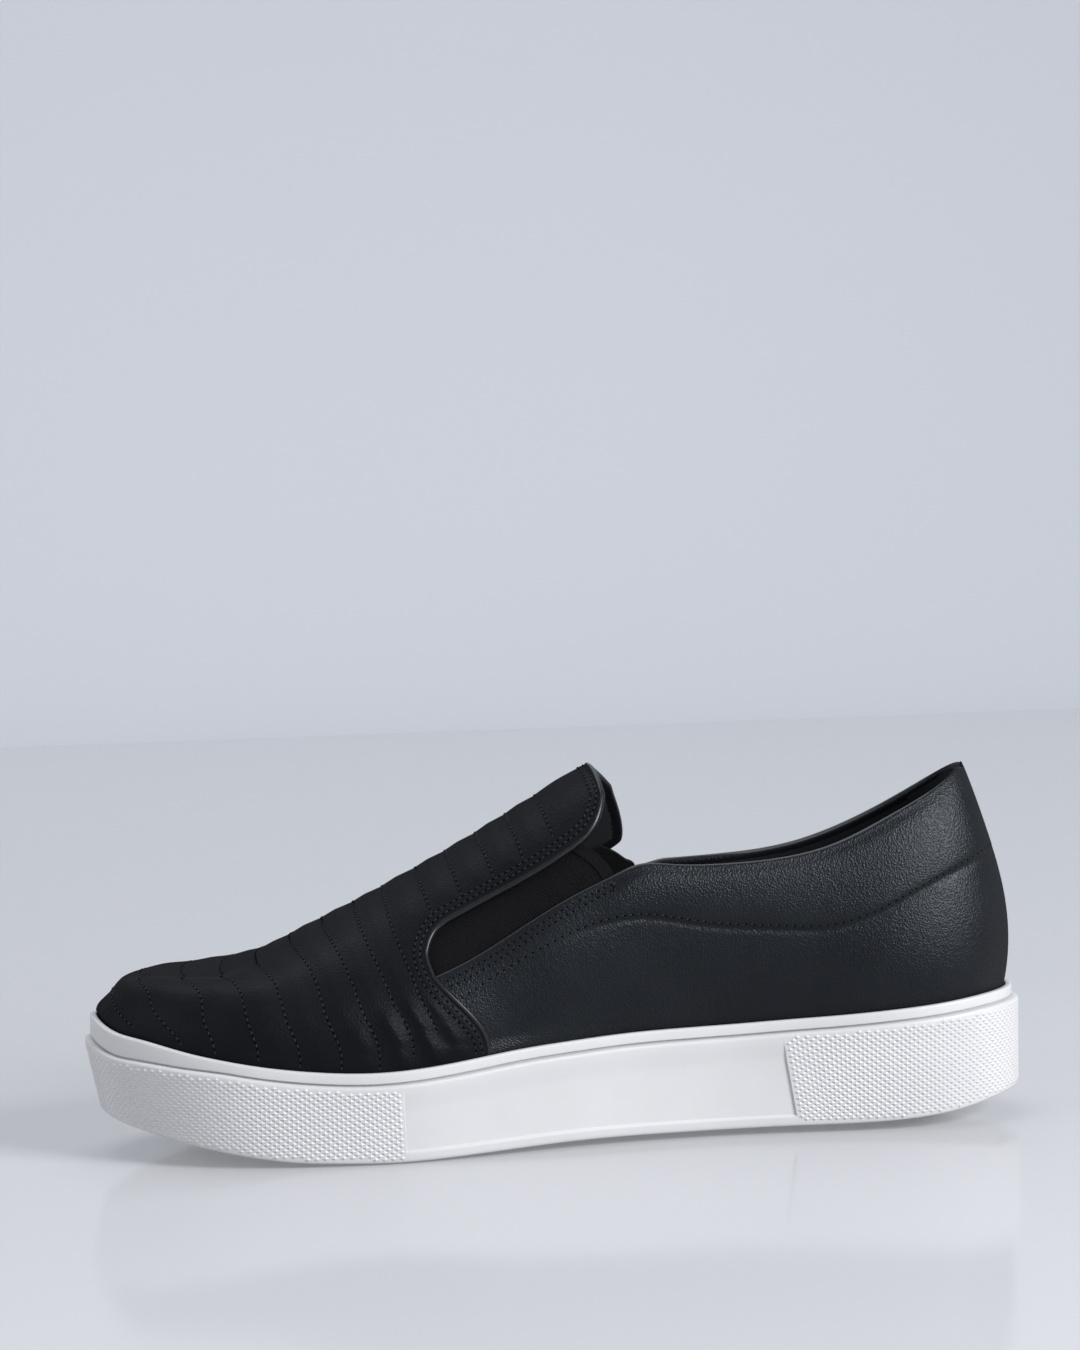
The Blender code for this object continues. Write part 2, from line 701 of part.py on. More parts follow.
class UpperSide:
    """One side of the upper: sections between the sole and the crest."""

    def __init__(self, side):
        self.side = side
        self.ring = read_ring()
        self.span = 2 * (len(INNER_SIDE) - 1)
        crest = np.array(CREST)
        ahead = crest[-2:-4:-1].copy()
        ahead[:, 1] = 2.0 * crest[-1, 1] - ahead[:, 1]
        rows = np.arange(FIRST_CREST_ROW, FIRST_CREST_ROW + len(crest) + 2, dtype=float)
        self.crest = make_spline(rows, np.concatenate([crest, ahead]))

    def section(self, row):
        """Arc of the foot, edge place, edge side, rise, flare and lean."""
        row = np.asarray(row, float)
        place = row if self.side < 0 else self.span - row
        values = self.ring(place % self.span)
        values[:, 0] += OUTLINE_CURVE.total * (place % self.span) / self.span
        return values

    def foot(self, row):
        """Foot of each section on the rim, and the outward direction."""
        arcs = self.section(row)[:, 0]
        flat, outward = OUTLINE_CURVE.points(arcs, np.full(len(row), FEATHER_INSET))
        out = np.stack([-outward[:, 0], outward[:, 1], np.zeros(len(row))], axis=1)
        rim = top_height(OUTLINE_CURVE.read(arcs)[:, 0])
        return to_frame(flat[:, 0], flat[:, 1], rim), out

    def edge(self, row):
        """Collar or slot edge of each section."""
        sizes = self.section(row)
        along = sizes[:, 1] * SOLE_LENGTH
        across = sizes[:, 2] * BALL_WIDTH
        return to_frame(along, across, top_height(along) + sizes[:, 3] * HEEL_RISE)

    def top(self, row):
        """Crest of each section."""
        along = self.crest(row)[:, 0] * SOLE_LENGTH
        rise = CREST_CURVE(along / SOLE_LENGTH)[:, 0] * INSTEP_RISE
        return to_frame(along, centre_line(along), top_height(along) + rise)

    def edge_direction(self, row, foot, edge, out):
        """Direction of the wall at its edge, leaning in over the foot."""
        lean = np.radians(self.section(row)[:, 5])[:, None]
        slope = (edge - foot)[:, 0] / (edge - foot)[:, 2]
        along = np.stack([slope * EDGE_FOLLOW, np.zeros(len(row)), np.ones(len(row))], axis=1)
        along /= np.linalg.norm(along, axis=1)[:, None]
        return along * np.cos(lean) - out * np.sin(lean)

    def lower(self, row, share):
        """Points between the rim, share 0, and the edge, share 1."""
        foot, out = self.foot(row)
        edge = self.edge(row)
        flare = np.radians(self.section(row)[:, 4])[:, None]
        up = np.array([0.0, 0.0, 1.0])
        reach = np.linalg.norm(edge - foot, axis=1)[:, None] * FOOT_HANDLE
        first = foot + reach * (up * np.cos(flare) + out * np.sin(flare))
        last = edge - reach * self.edge_direction(row, foot, edge, out)
        return bezier(foot, first, last, edge, share)

    def upper(self, row, share):
        """Points between the edge, share 0, and the crest, share 1."""
        foot, out = self.foot(row)
        edge = self.edge(row)
        crest = self.top(row)
        turn = np.radians(self.crest(row)[:, 1])
        span = np.linalg.norm(crest - edge, axis=1)[:, None]
        inward = np.stack([np.sin(turn), -self.side * np.cos(turn), np.zeros(len(row))], axis=1)
        first = edge + span * EDGE_HANDLE * self.edge_direction(row, foot, edge, out)
        last = crest - span * CREST_HANDLE * inward
        return bezier(edge, first, last, crest, share)


def bezier(start, first, last, end, share):
    """Point at a share along a curve with two handles."""
    share = np.asarray(share).reshape(-1, 1)
    rest = 1.0 - share
    return (rest ** 3 * start + 3.0 * rest ** 2 * share * first
            + 3.0 * rest * share ** 2 * last + share ** 3 * end)


SLOT_CURVE = make_spline([row for row, _ in SLOT], [part for _, part in SLOT])


def slot_share(side, row):
    """Share of the upper part that the slot takes over the edge."""
    row = np.asarray(row, float)
    opening = SLOT_CURVE(row)[:, 0]
    if side.side > 0:
        lower = smooth(*OUTER_TAB_START, row) * (1.0 - smooth(*OUTER_TAB_END, row))
        opening = opening * (1.0 - OUTER_TAB_WIDER * lower)
    return np.where(row < SLOT_END_ROW, np.clip(opening, 0.0, 1.0), 0.0)


def upper_rows():
    """Section numbers of the upper's columns, closer where it turns."""
    rear = [0.0, 0.5, 1.0, 1.5, 2.0, 2.5, 3.0, 3.5, 4.0, 4.5, 5.0, 5.5, 6.0, 6.6, 7.2, 7.8, 8.3]
    slot = [TAB_ROW, 8.8, 8.95, 9.18, 9.5, 9.85, 10.3, 10.8, 11.3, 11.8, 12.25, 12.6, 12.82, 12.94]
    front = [13.0, 13.08, 13.5, 14.0, 14.6, 15.2, 15.8, 16.4, 17.0, 17.5, 18.0, 18.5, 19.0,
             19.5, 20.0, 20.5, 21.0, 21.4, 21.7, 22.0]
    return np.array(rear + slot + front), len(rear), len(rear) + len(slot)


def surface(side, rows, place):
    """Upper's outer face: place 0 to 1 under the edge, 1 to 2 over it."""
    rows = np.asarray(rows, float)
    place = np.asarray(place, float) + 0.0 * rows
    low = side.lower(rows, np.clip(place, 0.0, 1.0))
    high = side.upper(np.maximum(rows, FIRST_CREST_ROW), np.clip(place - 1.0, 0.0, 1.0))
    return np.where((place <= 1.0)[:, None], low, high)


def surface_normal(side, rows, place):
    """Outward direction of the upper's outer face."""
    step = 0.01
    along = surface(side, rows + step, place) - surface(side, rows - step, place)
    rising = surface(side, rows, place + step) - surface(side, rows, place - step)
    normal = np.cross(along, rising) * side.side
    return normal / np.linalg.norm(normal, axis=1)[:, None]


def join_grid(mesh, lower, higher, first, last, side):
    """Faces between two rows of points, turned outwards."""
    for i in range(first, last):
        corners = [lower[i], lower[i + 1], higher[i + 1], higher[i]]
        if side < 0:
            corners.reverse()
        mesh.faces.new(corners)


def add_wall(shape, name, wall, weights=None):
    """Give an open face its wall, inwards, with a share of it at each point."""
    solid = shape.modifiers.new(name, "SOLIDIFY")
    solid.thickness = wall
    solid.offset = -1.0
    solid.use_rim = True
    if weights is not None:
        group = shape.vertex_groups.new(name="wall")
        for index, weight in enumerate(weights):
            group.add([index], float(weight), "REPLACE")
        solid.vertex_group = "wall"
        solid.thickness_vertex_group = 0.0


def build_upper(collection, sides):
    """Hollow upper: quarters, vamp with its tab, slots and open bottom."""
    rows, tab, tip = upper_rows()
    count = len(rows)
    last = count - 1
    vamp = rows > SLOT_END_ROW
    collar = 1.0 - smooth(*PADDING_END, rows)
    sink = VAMP_STEP * np.where(vamp, 0.0, smooth(*SINK_START, rows))
    shares = np.linspace(0.0, 1.0, LOWER_ROWS + 1)
    mesh = bmesh.new()
    walls = []
    shared = {}

    def add(points, wall, key=None):
        if key is not None and key in shared:
            return shared[key]
        vert = mesh.verts.new(tuple(points))
        walls.append(wall)
        if key is not None:
            shared[key] = vert
        return vert

    for side in sides:
        foot, out = side.foot(rows)
        loops = []
        for level, share in enumerate(TUCK_LEVELS):
            loops.append((("tuck", level), foot - np.array([0.0, 0.0, TUCK * share]), 0.0))
        for level, share in enumerate(shares):
            held = smooth(*SINK_RISE, share)
            points = side.lower(rows, np.full(count, share)) - out * (sink * held)[:, None]
            loops.append((("low", level), points, share))
        grid = []
        for (kind, level), points, share in loops:
            padding = (COLLAR_WALL - QUARTER_WALL) * smooth(*PADDING_RISE, share) * collar
            line = []
            for i in range(count):
                wall = VAMP_WALL if vamp[i] else QUARTER_WALL + padding[i]
                key = (kind, level, i) if i in (0, last) else None
                if (kind, level) == ("low", LOWER_ROWS) and i >= tip:
                    key = ("seam", side.side if i < last else 0, i)
                    point = side.edge(rows[i:i + 1])[0]
                    line.append(add(point, VAMP_WALL, key))
                else:
                    line.append(add(points[i], wall, key))
            grid.append(line)
        for lower, higher in zip(grid, grid[1:]):
            join_grid(mesh, lower, higher, 0, last, side.side)
        slot = slot_share(side, rows)
        above = []
        for level, share in enumerate(np.linspace(0.0, 1.0, UPPER_ROWS + 1)):
            part = slot + (1.0 - slot) * share
            points = side.upper(np.maximum(rows, FIRST_CREST_ROW), part)
            line = [None] * tab
            for i in range(tab, count):
                key = None
                if level == 0 and i >= tip:
                    key = ("seam", side.side if i < last else 0, i)
                elif level == UPPER_ROWS:
                    key = ("crest", 0, i)
                elif i == last:
                    key = ("high", level, i)
                line.append(add(points[i], VAMP_WALL, key))
            above.append(line)
        for lower, higher in zip(above, above[1:]):
            join_grid(mesh, lower, higher, tab, last, side.side)
    shape = finish_object("upper", mesh, collection, "leather_black", recalc=False)
    add_wall(shape, "wall", COLLAR_WALL, [wall / COLLAR_WALL for wall in walls])
    return shape


def gore_reach(side, rows):
    """Places of the gore's lower and upper edge, under its seams."""
    foot, _ = side.foot(rows)
    edge = side.edge(rows)
    crest = side.top(rows)
    below = GORE_SEAM / np.linalg.norm(edge - foot, axis=1)
    above = GORE_SEAM / np.linalg.norm(crest - edge, axis=1)
    return 1.0 - below, 1.0 + slot_share(side, rows) + above


def build_gore(collection, side):
    """Elastic gore behind the side slot, its seams under both edges."""
    name = "gore_inner" if side.side < 0 else "gore_outer"
    mesh = bmesh.new()
    lines = []
    for share in np.linspace(0.0, 1.0, GORE_ROWS + 1):
        rows = np.linspace(GORE_FIRST_ROW + GORE_SLANT * share, GORE_LAST_ROW, GORE_COLUMNS)
        low, high = gore_reach(side, rows)
        place = low + (high - low) * share
        points = surface(side, rows, place)
        points = points - surface_normal(side, rows, place) * (VAMP_WALL + GAP)
        lines.append([mesh.verts.new(tuple(point)) for point in points])
    for lower, higher in zip(lines, lines[1:]):
        join_grid(mesh, lower, higher, 0, GORE_COLUMNS - 1, side.side)
    shape = finish_object(name, mesh, collection, "elastic_black", recalc=False)
    add_wall(shape, "wall", GORE_WALL)
    return shape


def main():
    for shape in list(bpy.data.objects):
        bpy.data.objects.remove(shape, do_unlink=True)
    collection = bpy.data.collections.new("slip_on_sneaker")
    bpy.context.scene.collection.children.link(collection)
    sides = (UpperSide(-1), UpperSide(1))
    build_outsole(collection)
    build_midsole(collection)
    build_insole(collection)
    build_upper(collection, sides)
    for side in sides:
        build_gore(collection, side)


if __name__ == "__main__":
    main()
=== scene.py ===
"""Looks of the slip-on sneaker: leather upper, elastic gores, rubber cup sole.

The shape functions repeat the shoe's own sizes and sections, in metres, and
read them at many more places. The toe points to -X, +Y is the outer side of
the foot, +Z is up, and the origin is on the floor under the middle.
"""
import math

import bmesh
import bpy
import numpy as np
from mathutils import Matrix, Vector
from mathutils.bvhtree import BVHTree


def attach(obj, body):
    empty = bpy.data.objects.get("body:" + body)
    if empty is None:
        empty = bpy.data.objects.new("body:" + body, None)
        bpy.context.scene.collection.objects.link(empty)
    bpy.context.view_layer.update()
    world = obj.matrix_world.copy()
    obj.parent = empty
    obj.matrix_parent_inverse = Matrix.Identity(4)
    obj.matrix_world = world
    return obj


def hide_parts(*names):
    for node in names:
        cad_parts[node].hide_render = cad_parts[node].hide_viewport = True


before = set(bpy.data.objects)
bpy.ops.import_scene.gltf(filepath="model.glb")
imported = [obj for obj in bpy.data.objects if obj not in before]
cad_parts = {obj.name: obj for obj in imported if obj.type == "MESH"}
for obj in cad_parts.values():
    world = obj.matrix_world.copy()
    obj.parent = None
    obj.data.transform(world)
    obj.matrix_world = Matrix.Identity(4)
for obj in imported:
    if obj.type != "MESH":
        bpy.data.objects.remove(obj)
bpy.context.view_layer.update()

# Main sizes, in metres
SOLE_LENGTH = 0.266
BALL_WIDTH = 0.098
HEEL_STACK = 0.0366
BALL_STACK = 0.0251
TOE_STACK = 0.0392
HEEL_RISE = 0.0632
INSTEP_RISE = 0.0735

# Cup sole: the rim round the upper, the band, groove and wall under it
BAND_INSET = 0.0016
BAND_HEIGHT = 0.0029
TOE_BAND_HEIGHT = 0.0058
RIM_WALL = 0.0018
RIM_EDGE = 0.0004
CUP_DEPTH = 0.0070
GROOVE_DEPTH = 0.0011
GROOVE_HEIGHT = 0.0006
GROOVE_ROUND = 0.00015
BAND_FOOT_ROUND = 0.00025
SHOULDER_HEIGHT = 0.0024
SHOULDER_ROUND = 0.0009
PANEL_RECESS = 0.0006
PANEL_FADE = 0.0045
PANEL_ROUND = 0.0012
BORDER_HEIGHT = 0.0024
EDGE_ROUND = 0.0009
EDGE_INNER_ROUND = 0.0003
EDGE_WALL = 0.0036
STEP_RUN = 0.0006
STEP_ROUND = 0.0002
STEP_STEEP = 0.35
SOLE_SHARP_ANGLE = 60.0
TOE_TAPER = 0.0042
SIDE_TAPER = 0.0016
HEEL_TAPER = 0.0004

# Places along the foot, from the back of the heel
REAR_BUMPER_END = 0.0715
FRONT_BUMPER_END = 0.1800
TOE_TAPER_START = 0.205
HEEL_TAPER_END = 0.050
BAND_GROWTH_START = 0.226
BAND_GROWTH_END = 0.262

# Tread plate's upper face over the cup's lower edge
TREAD_RIM = 0.0026

# Walls and clearances
QUARTER_WALL = 0.0017
VAMP_WALL = 0.0025
COLLAR_WALL = 0.0030
GORE_WALL = 0.0012
GORE_SEAM = 0.0035
INSOLE_THICKNESS = 0.0036
INSOLE_EDGE = 0.0008
INSOLE_SHARP_ANGLE = 45.0
GAP = 0.0003
WALL_EASE = 0.0001

FEATHER_INSET = BAND_INSET + RIM_WALL + GAP
TUCK = CUP_DEPTH - GAP
VAMP_STEP = VAMP_WALL - QUARTER_WALL

# Footbed's loops from its middle to its foot: how far in from its edge, and
# how far under its top
INSOLE_LOOPS = (
    # inwards, under
    (0.0160, 0.0006),
    (0.0085, 0.0004),
    (0.0045, 0.0),
    (0.0016, 0.0),
    (0.50 * INSOLE_EDGE, 0.15 * INSOLE_EDGE),
    (0.15 * INSOLE_EDGE, 0.50 * INSOLE_EDGE),
    (0.0, INSOLE_EDGE),
    (0.0, INSOLE_THICKNESS),
)

# Sole outline: place along the foot as a share of its length, and the
# reach to the inner and the outer side as shares of the ball width
OUTLINE = (
    # place, inner, outer
    (0.038, 0.230, 0.230),
    (0.128, 0.327, 0.332),
    (0.263, 0.311, 0.342),
    (0.414, 0.321, 0.383),
    (0.545, 0.393, 0.464),
    (0.684, 0.464, 0.510),
    (0.774, 0.459, 0.485),
    (0.846, 0.436, 0.427),
    (0.902, 0.377, 0.350),
    (0.951, 0.288, 0.243),
    (0.981, 0.206, 0.140),
)
TIP_REACH = 0.043

# Top line of the sole: how much of the heel's and of the toe's extra
# height over the ball is left at a place along the foot
TOP_LINE = (
    # place, heel_part, toe_part
    (0.000, 1.00, 0.00),
    (0.038, 0.98, 0.00),
    (0.090, 0.88, 0.00),
    (0.165, 0.75, 0.00),
    (0.241, 0.64, 0.00),
    (0.316, 0.565, 0.00),
    (0.376, 0.53, 0.00),
    (0.436, 0.495, 0.00),
    (0.496, 0.415, 0.00),
    (0.553, 0.315, 0.00),
    (0.583, 0.235, 0.00),
    (0.643, 0.072, 0.00),
    (0.699, 0.00, 0.00),
    (0.771, 0.00, 0.068),
    (0.816, 0.00, 0.176),
    (0.861, 0.00, 0.318),
    (0.906, 0.00, 0.485),
    (0.951, 0.00, 0.680),
    (0.985, 0.00, 0.840),
    (1.000, 0.00, 1.000),
)

# Lower edge of the cup's side: height over the floor at the back of the
# heel, the waist and the toe, and where each applies
EDGE_HEEL = 0.0080
EDGE_WAIST = 0.0021
EDGE_BALL = 0.0004
EDGE_TOE = 0.0122
EDGE_LINE = (
    # place, heel_part, waist_part, toe_part
    (0.000, 1.00, 0.00, 0.00),
    (0.038, 0.87, 0.05, 0.00),
    (0.075, 0.60, 0.15, 0.00),
    (0.113, 0.35, 0.42, 0.00),
    (0.150, 0.20, 0.62, 0.00),
    (0.207, 0.08, 0.85, 0.00),
    (0.263, 0.03, 1.00, 0.00),
    (0.376, 0.00, 1.00, 0.00),
    (0.496, 0.00, 0.97, 0.00),
    (0.564, 0.00, 0.62, 0.00),
    (0.639, 0.00, 0.15, 0.00),
    (0.695, 0.00, 0.00, 0.00),
    (0.740, 0.00, 0.00, 0.030),
    (0.786, 0.00, 0.00, 0.087),
    (0.816, 0.00, 0.00, 0.170),
    (0.868, 0.00, 0.00, 0.360),
    (0.914, 0.00, 0.00, 0.560),
    (0.966, 0.00, 0.00, 0.815),
    (1.000, 0.00, 0.00, 1.000),
)

# Sections of the upper from the back of the heel to the tip of the toe.
# foot: where the section stands on the sole, edge: where it crosses the
# collar or the side slot, both as shares of the length. reach: how far out
# the edge is, as a share of the ball width. rise: height of the edge over
# the sole, as a share of the rise at the heel. flare and lean: slope of
# the wall at its foot and at the edge, in degrees.
INNER_SIDE = (
    # foot, edge, reach, rise, flare, lean
    (0.000, 0.0545, 0.000, 1.010, 12.5, 13.0),
    (0.006, 0.0575, 0.066, 1.004, 12.5, 13.0),
    (0.027, 0.0700, 0.133, 0.996, 13.0, 13.0),
    (0.075, 0.1000, 0.190, 0.936, 14.0, 12.0),
    (0.143, 0.1500, 0.234, 0.845, 15.0, 11.0),
    (0.220, 0.2180, 0.266, 0.742, 14.0, 9.0),
    (0.298, 0.2960, 0.288, 0.708, 13.0, 8.0),
    (0.370, 0.3700, 0.301, 0.714, 12.0, 9.0),
    (0.425, 0.4192, 0.306, 0.733, 11.0, 12.0),
    (0.464, 0.4568, 0.314, 0.692, 10.0, 16.0),
    (0.498, 0.5000, 0.327, 0.622, 9.0, 20.0),
    (0.528, 0.5489, 0.339, 0.526, 8.0, 24.0),
    (0.555, 0.5977, 0.353, 0.438, 7.0, 28.0),
    (0.581, 0.6391, 0.367, 0.385, 7.0, 31.0),
    (0.632, 0.6842, 0.383, 0.345, 7.0, 33.0),
    (0.695, 0.7312, 0.396, 0.315, 7.0, 34.0),
    (0.752, 0.7801, 0.394, 0.272, 7.0, 34.0),
    (0.808, 0.8271, 0.384, 0.232, 7.0, 33.0),
    (0.862, 0.8722, 0.342, 0.198, 7.0, 32.0),
    (0.912, 0.9165, 0.287, 0.166, 7.0, 29.0),
    (0.953, 0.9510, 0.211, 0.143, 7.0, 29.0),
    (0.986, 0.9700, 0.129, 0.129, 7.0, 29.0),
    (1.000, 0.9760, 0.044, 0.125, 7.0, 29.0),
)
OUTER_SIDE = (
    # foot, edge, reach, rise, flare, lean
    (0.000, 0.0545, 0.000, 1.010, 12.5, 13.0),
    (0.006, 0.0575, 0.066, 1.001, 12.5, 13.0),
    (0.027, 0.0700, 0.135, 0.962, 13.0, 13.0),
    (0.075, 0.1000, 0.196, 0.885, 14.0, 12.0),
    (0.143, 0.1480, 0.245, 0.783, 15.0, 11.0),
    (0.216, 0.2110, 0.282, 0.692, 14.0, 9.0),
    (0.286, 0.2790, 0.305, 0.654, 13.0, 8.0),
    (0.349, 0.3390, 0.316, 0.643, 12.0, 9.0),
    (0.395, 0.3680, 0.322, 0.642, 11.0, 12.0),
    (0.434, 0.4020, 0.332, 0.612, 10.0, 16.0),
    (0.472, 0.4480, 0.347, 0.548, 9.0, 20.0),
    (0.508, 0.5020, 0.367, 0.465, 8.0, 24.0),
    (0.541, 0.5570, 0.388, 0.388, 7.0, 28.0),
    (0.574, 0.6070, 0.403, 0.342, 7.0, 31.0),
    (0.626, 0.6600, 0.418, 0.316, 7.0, 33.0),
    (0.692, 0.7162, 0.424, 0.296, 7.0, 34.0),
    (0.748, 0.7688, 0.408, 0.266, 7.0, 34.0),
    (0.806, 0.8200, 0.378, 0.234, 7.0, 33.0),
    (0.860, 0.8660, 0.319, 0.201, 7.0, 32.0),
    (0.911, 0.9115, 0.245, 0.170, 7.0, 29.0),
    (0.953, 0.9480, 0.150, 0.146, 7.0, 29.0),
    (0.987, 0.9695, 0.051, 0.130, 7.0, 29.0),
    (1.000, 0.9760, -0.044, 0.125, 7.0, 29.0),
)
# Crest of the vamp: place of each section's top, from the section at the
# back of the tab to the toe, and the turn of the surface's top there
FIRST_CREST_ROW = 8
CREST = (
    # place, turn
    (0.420, 0.0),
    (0.474, 0.0),
    (0.532, 0.0),
    (0.589, 0.0),
    (0.641, 0.0),
    (0.688, 0.0),
    (0.729, 0.0),
    (0.773, 0.0),
    (0.814, 2.0),
    (0.853, 6.0),
    (0.889, 14.0),
    (0.915, 28.0),
    (0.932, 48.0),
    (0.941, 70.0),
    (0.945, 90.0),
)
# Height of the crest over the sole, as a share of the rise at the instep
CREST_LINE = (
    # place, rise
    (0.400, 1.105),
    (0.458, 0.999),
    (0.518, 0.886),
    (0.582, 0.774),
    (0.647, 0.675),
    (0.714, 0.562),
    (0.784, 0.419),
    (0.820, 0.329),
    (0.855, 0.258),
    (0.893, 0.232),
    (0.931, 0.208),
    (0.950, 0.185),
)
CREST_BEND_START = 0.56
CREST_BEND_POWER = 1.6
EDGE_HANDLE = 0.40
CREST_HANDLE = 0.46
FOOT_HANDLE = 0.36
EDGE_FOLLOW = 0.7

# Side slot for the gore: the share of the upper part that is cut away
# over the edge, from the back of the tab to the end of the slot
TAB_ROW = 8.7
SLOT_END_ROW = 13.0
SLOT = (
    # row, opening
    (8.70, 0.540),
    (8.80, 0.455),
    (8.95, 0.375),
    (9.20, 0.310),
    (9.70, 0.268),
    (10.4, 0.250),
    (11.2, 0.260),
    (12.0, 0.268),
    (12.5, 0.235),
    (12.8, 0.155),
    (12.94, 0.075),
    (13.0, 0.000),
)

# On the outer side the tab reaches further down: by this share of the
# slot's opening, between the sections where that starts and ends
OUTER_TAB_WIDER = 0.45
OUTER_TAB_START = (8.75, 9.15)
OUTER_TAB_END = (9.5, 11.0)
GORE_FIRST_ROW = 8.66
GORE_SLANT = 0.94
GORE_MIDDLE = 1.1
GORE_LAST_ROW = 13.15
TOE_END_ROW = 22.0
QUARTER_END_ROW = 13.7

# The vamp thins under the end of its edge to this wall, between these
# sections and under these places
VAMP_THIN_WALL = 0.0008
VAMP_THIN_END = (13.6, 14.8)
VAMP_THIN_TOP = (0.75, 1.05)

# Places over the sole in which creases and swellings start
VAMP_HELD = (0.0, 0.16)
QUARTER_HELD = (0.0, 0.12)

# Where the collar's padding ends and where the quarter sinks under the
# vamp's edge, by section, and the share of the wall's height they take
PADDING_END = (8.0, 10.0)
PADDING_RISE = (0.7, 1.0)
SINK_START = (10.0, 12.3)
SINK_RISE = (0.0, 0.15)
VAMP_SEAT = 0.00005

# Fine division of the surfaces that show
COLUMN_STEP = 0.00062
COLUMN_PLACE = 1.99
FINE_STEP = 0.00034
FINE_REACH = 0.0030
VAMP_LEVELS_LOW = 34
VAMP_LEVELS_HIGH = 58
QUARTER_LEVELS = 60
EDGE_LEVELS = 7
GORE_LEVELS = 15

# Usual heights of the upper's parts over and under the slot's edge and of
# the quarter, from which the rim's fine levels are spaced
OVER_EDGE = 0.045
UNDER_EDGE = 0.035
QUARTER_REACH = 0.034
QUARTER_RIM = 0.0024
QUARTER_RIM_START = 0.93
SOLE_STEP = 0.0017
OUTLINE_SAMPLES = 1500

# Quilting of the vamp: rows of stitching across it. crest: section at the
# crest, slant: how many sections the row moves forward on its way down,
# end: where it stops, on the scale 0 sole, 1 edge, 2 crest
QUILTING = (
    # crest, slant, end
    (19.91, -0.51, 0.10),
    (18.13, 0.04, 0.08),
    (17.06, 0.14, 0.08),
    (16.15, 0.20, 0.04),
    (15.26, 0.27, 0.03),
    (14.46, 0.32, 0.02),
    (13.65, 0.44, 0.12),
    (12.87, 0.64, 0.36),
    (12.13, 0.41, 1.39),
    (11.50, 0.39, 1.40),
    (10.88, 0.40, 1.40),
    (10.31, 0.40, 1.40),
    (9.76, 0.30, 1.43),
)
# First row of the quilting, round the front of the toe
TOE_ROW = (
    # section, place
    (20.15, 0.22),
    (20.80, 0.74),
    (21.40, 1.06),
    (22.00, 1.24),
)
PUFF = 0.00034
PUFF_REACH = 0.0038
CREASE = 0.00010
CREASE_WIDTH = 0.00045

# Wrinkles of the lower vamp, where the ball bends: soft ridges between the
# quilting rows, with sections, places, half width and height
WRINKLES = (
    # first row, place, last row, place, half width, height
    (15.16, 0.48, 15.24, 0.10, 0.0026, 0.00045),
    (14.52, 0.62, 14.64, 0.10, 0.0026, 0.00080),
    (13.98, 0.70, 14.14, 0.12, 0.0025, 0.00085),
    (13.56, 0.66, 13.68, 0.14, 0.0018, 0.00055),
    (14.75, 0.30, 14.35, 0.20, 0.0011, -0.00028),
    (14.20, 0.46, 13.85, 0.36, 0.0010, -0.00028),
    (15.35, 0.26, 14.95, 0.17, 0.0011, -0.00022),
    (13.85, 0.58, 13.55, 0.46, 0.0009, -0.00022),
    (13.90, 0.24, 13.50, 0.15, 0.0010, -0.00028),
)

# How far from the stitching the wrinkles have their whole height
WRINKLE_REACH = 0.6 * PUFF_REACH

# The vamp's folded edge and its stitching, as distances from the edge
FOLD_BACK = 0.0030
FOLD_SHINE = 0.0009
FOLD_LINE = 0.0016
FOLD_DEPTH = 0.00030
FOLD_WIDTH = 0.00040
EDGE_STITCH = 0.0024
BORDER_STITCH = 0.0044
BORDER_FADE = (0.9 * BORDER_STITCH, 1.3 * BORDER_STITCH)
ROW_DEPTH = 0.00016
ROW_WIDTH = 0.00055

# Stitching of the quarters
GORE_STITCH = 0.0027
GORE_SECOND_STITCH = 0.0046
GORE_STITCH_ROWS = (8.84, 12.86)
COLLAR_STITCH = (
    # section, place
    (0.00, 0.640),
    (1.00, 0.632),
    (2.25, 0.620),
    (2.83, 0.610),
    (3.68, 0.580),
    (4.48, 0.532),
    (5.05, 0.530),
    (5.73, 0.578),
    (6.50, 0.625),
    (7.20, 0.668),
    (8.25, 0.702),
    (8.95, 0.722),
    (9.85, 0.740),
    (10.75, 0.740),
    (11.55, 0.728),
    (13.00, 0.650),
)
COLLAR_PUFF = 0.0012
COLLAR_LIFT = 0.0007
COLLAR_LIFT_END = (7.6, 9.0)
COLLAR_CREASE = 0.00040
COLLAR_CREASE_WIDTH = 0.0009
COLLAR_CREASE_LOSS = 0.6
COLLAR_BEAD = 0.0022
COLLAR_PAD_START = (0.3, 2.6)
COLLAR_PAD_END = (8.2, 10.2)
COLLAR_ROW_END = 1.15
BACK_SEAM_DEPTH = 0.0004
BACK_SEAM_WIDTH = 0.0007
BACK_SEAM_ROW = 0.06
BACK_SEAM_PLACES = (0.03, 0.98)

# Thread, and the dark caps between its stitches that are the painted shade of the needle's holes
STITCH_PITCH = 0.0019
STITCH_LENGTH = 0.0012
STITCH_WIDTH = 0.00034
STITCH_LIFT = -0.00004
COLLAR_PITCH = 0.0023
HOLE_LENGTH = 0.00085
HOLE_WIDTH = 0.00056
HOLE_LIFT = -0.00006

# Elastic
RIB_PITCH = 0.00075
RIB_HEIGHT = 0.00022
HEM_WIDTH = 0.0031
HEM_HEIGHT = 0.00045
HEM_RIB_SHARE = 0.3
ELASTIC_SHARP_ANGLE = 50.0

# Share of the groove's depth that is left open, its floor being rounded, and
# how much of its height each of its walls takes
GROOVE_SEEN = 0.9
GROOVE_SLOPE = 0.1

# How far the foot of each bumper's end stands towards the heel from its top,
# and how far along the wall its columns lean with it
REAR_LEAN = 0.0042
FRONT_LEAN = 0.0008
LEAN_REACH = 0.012

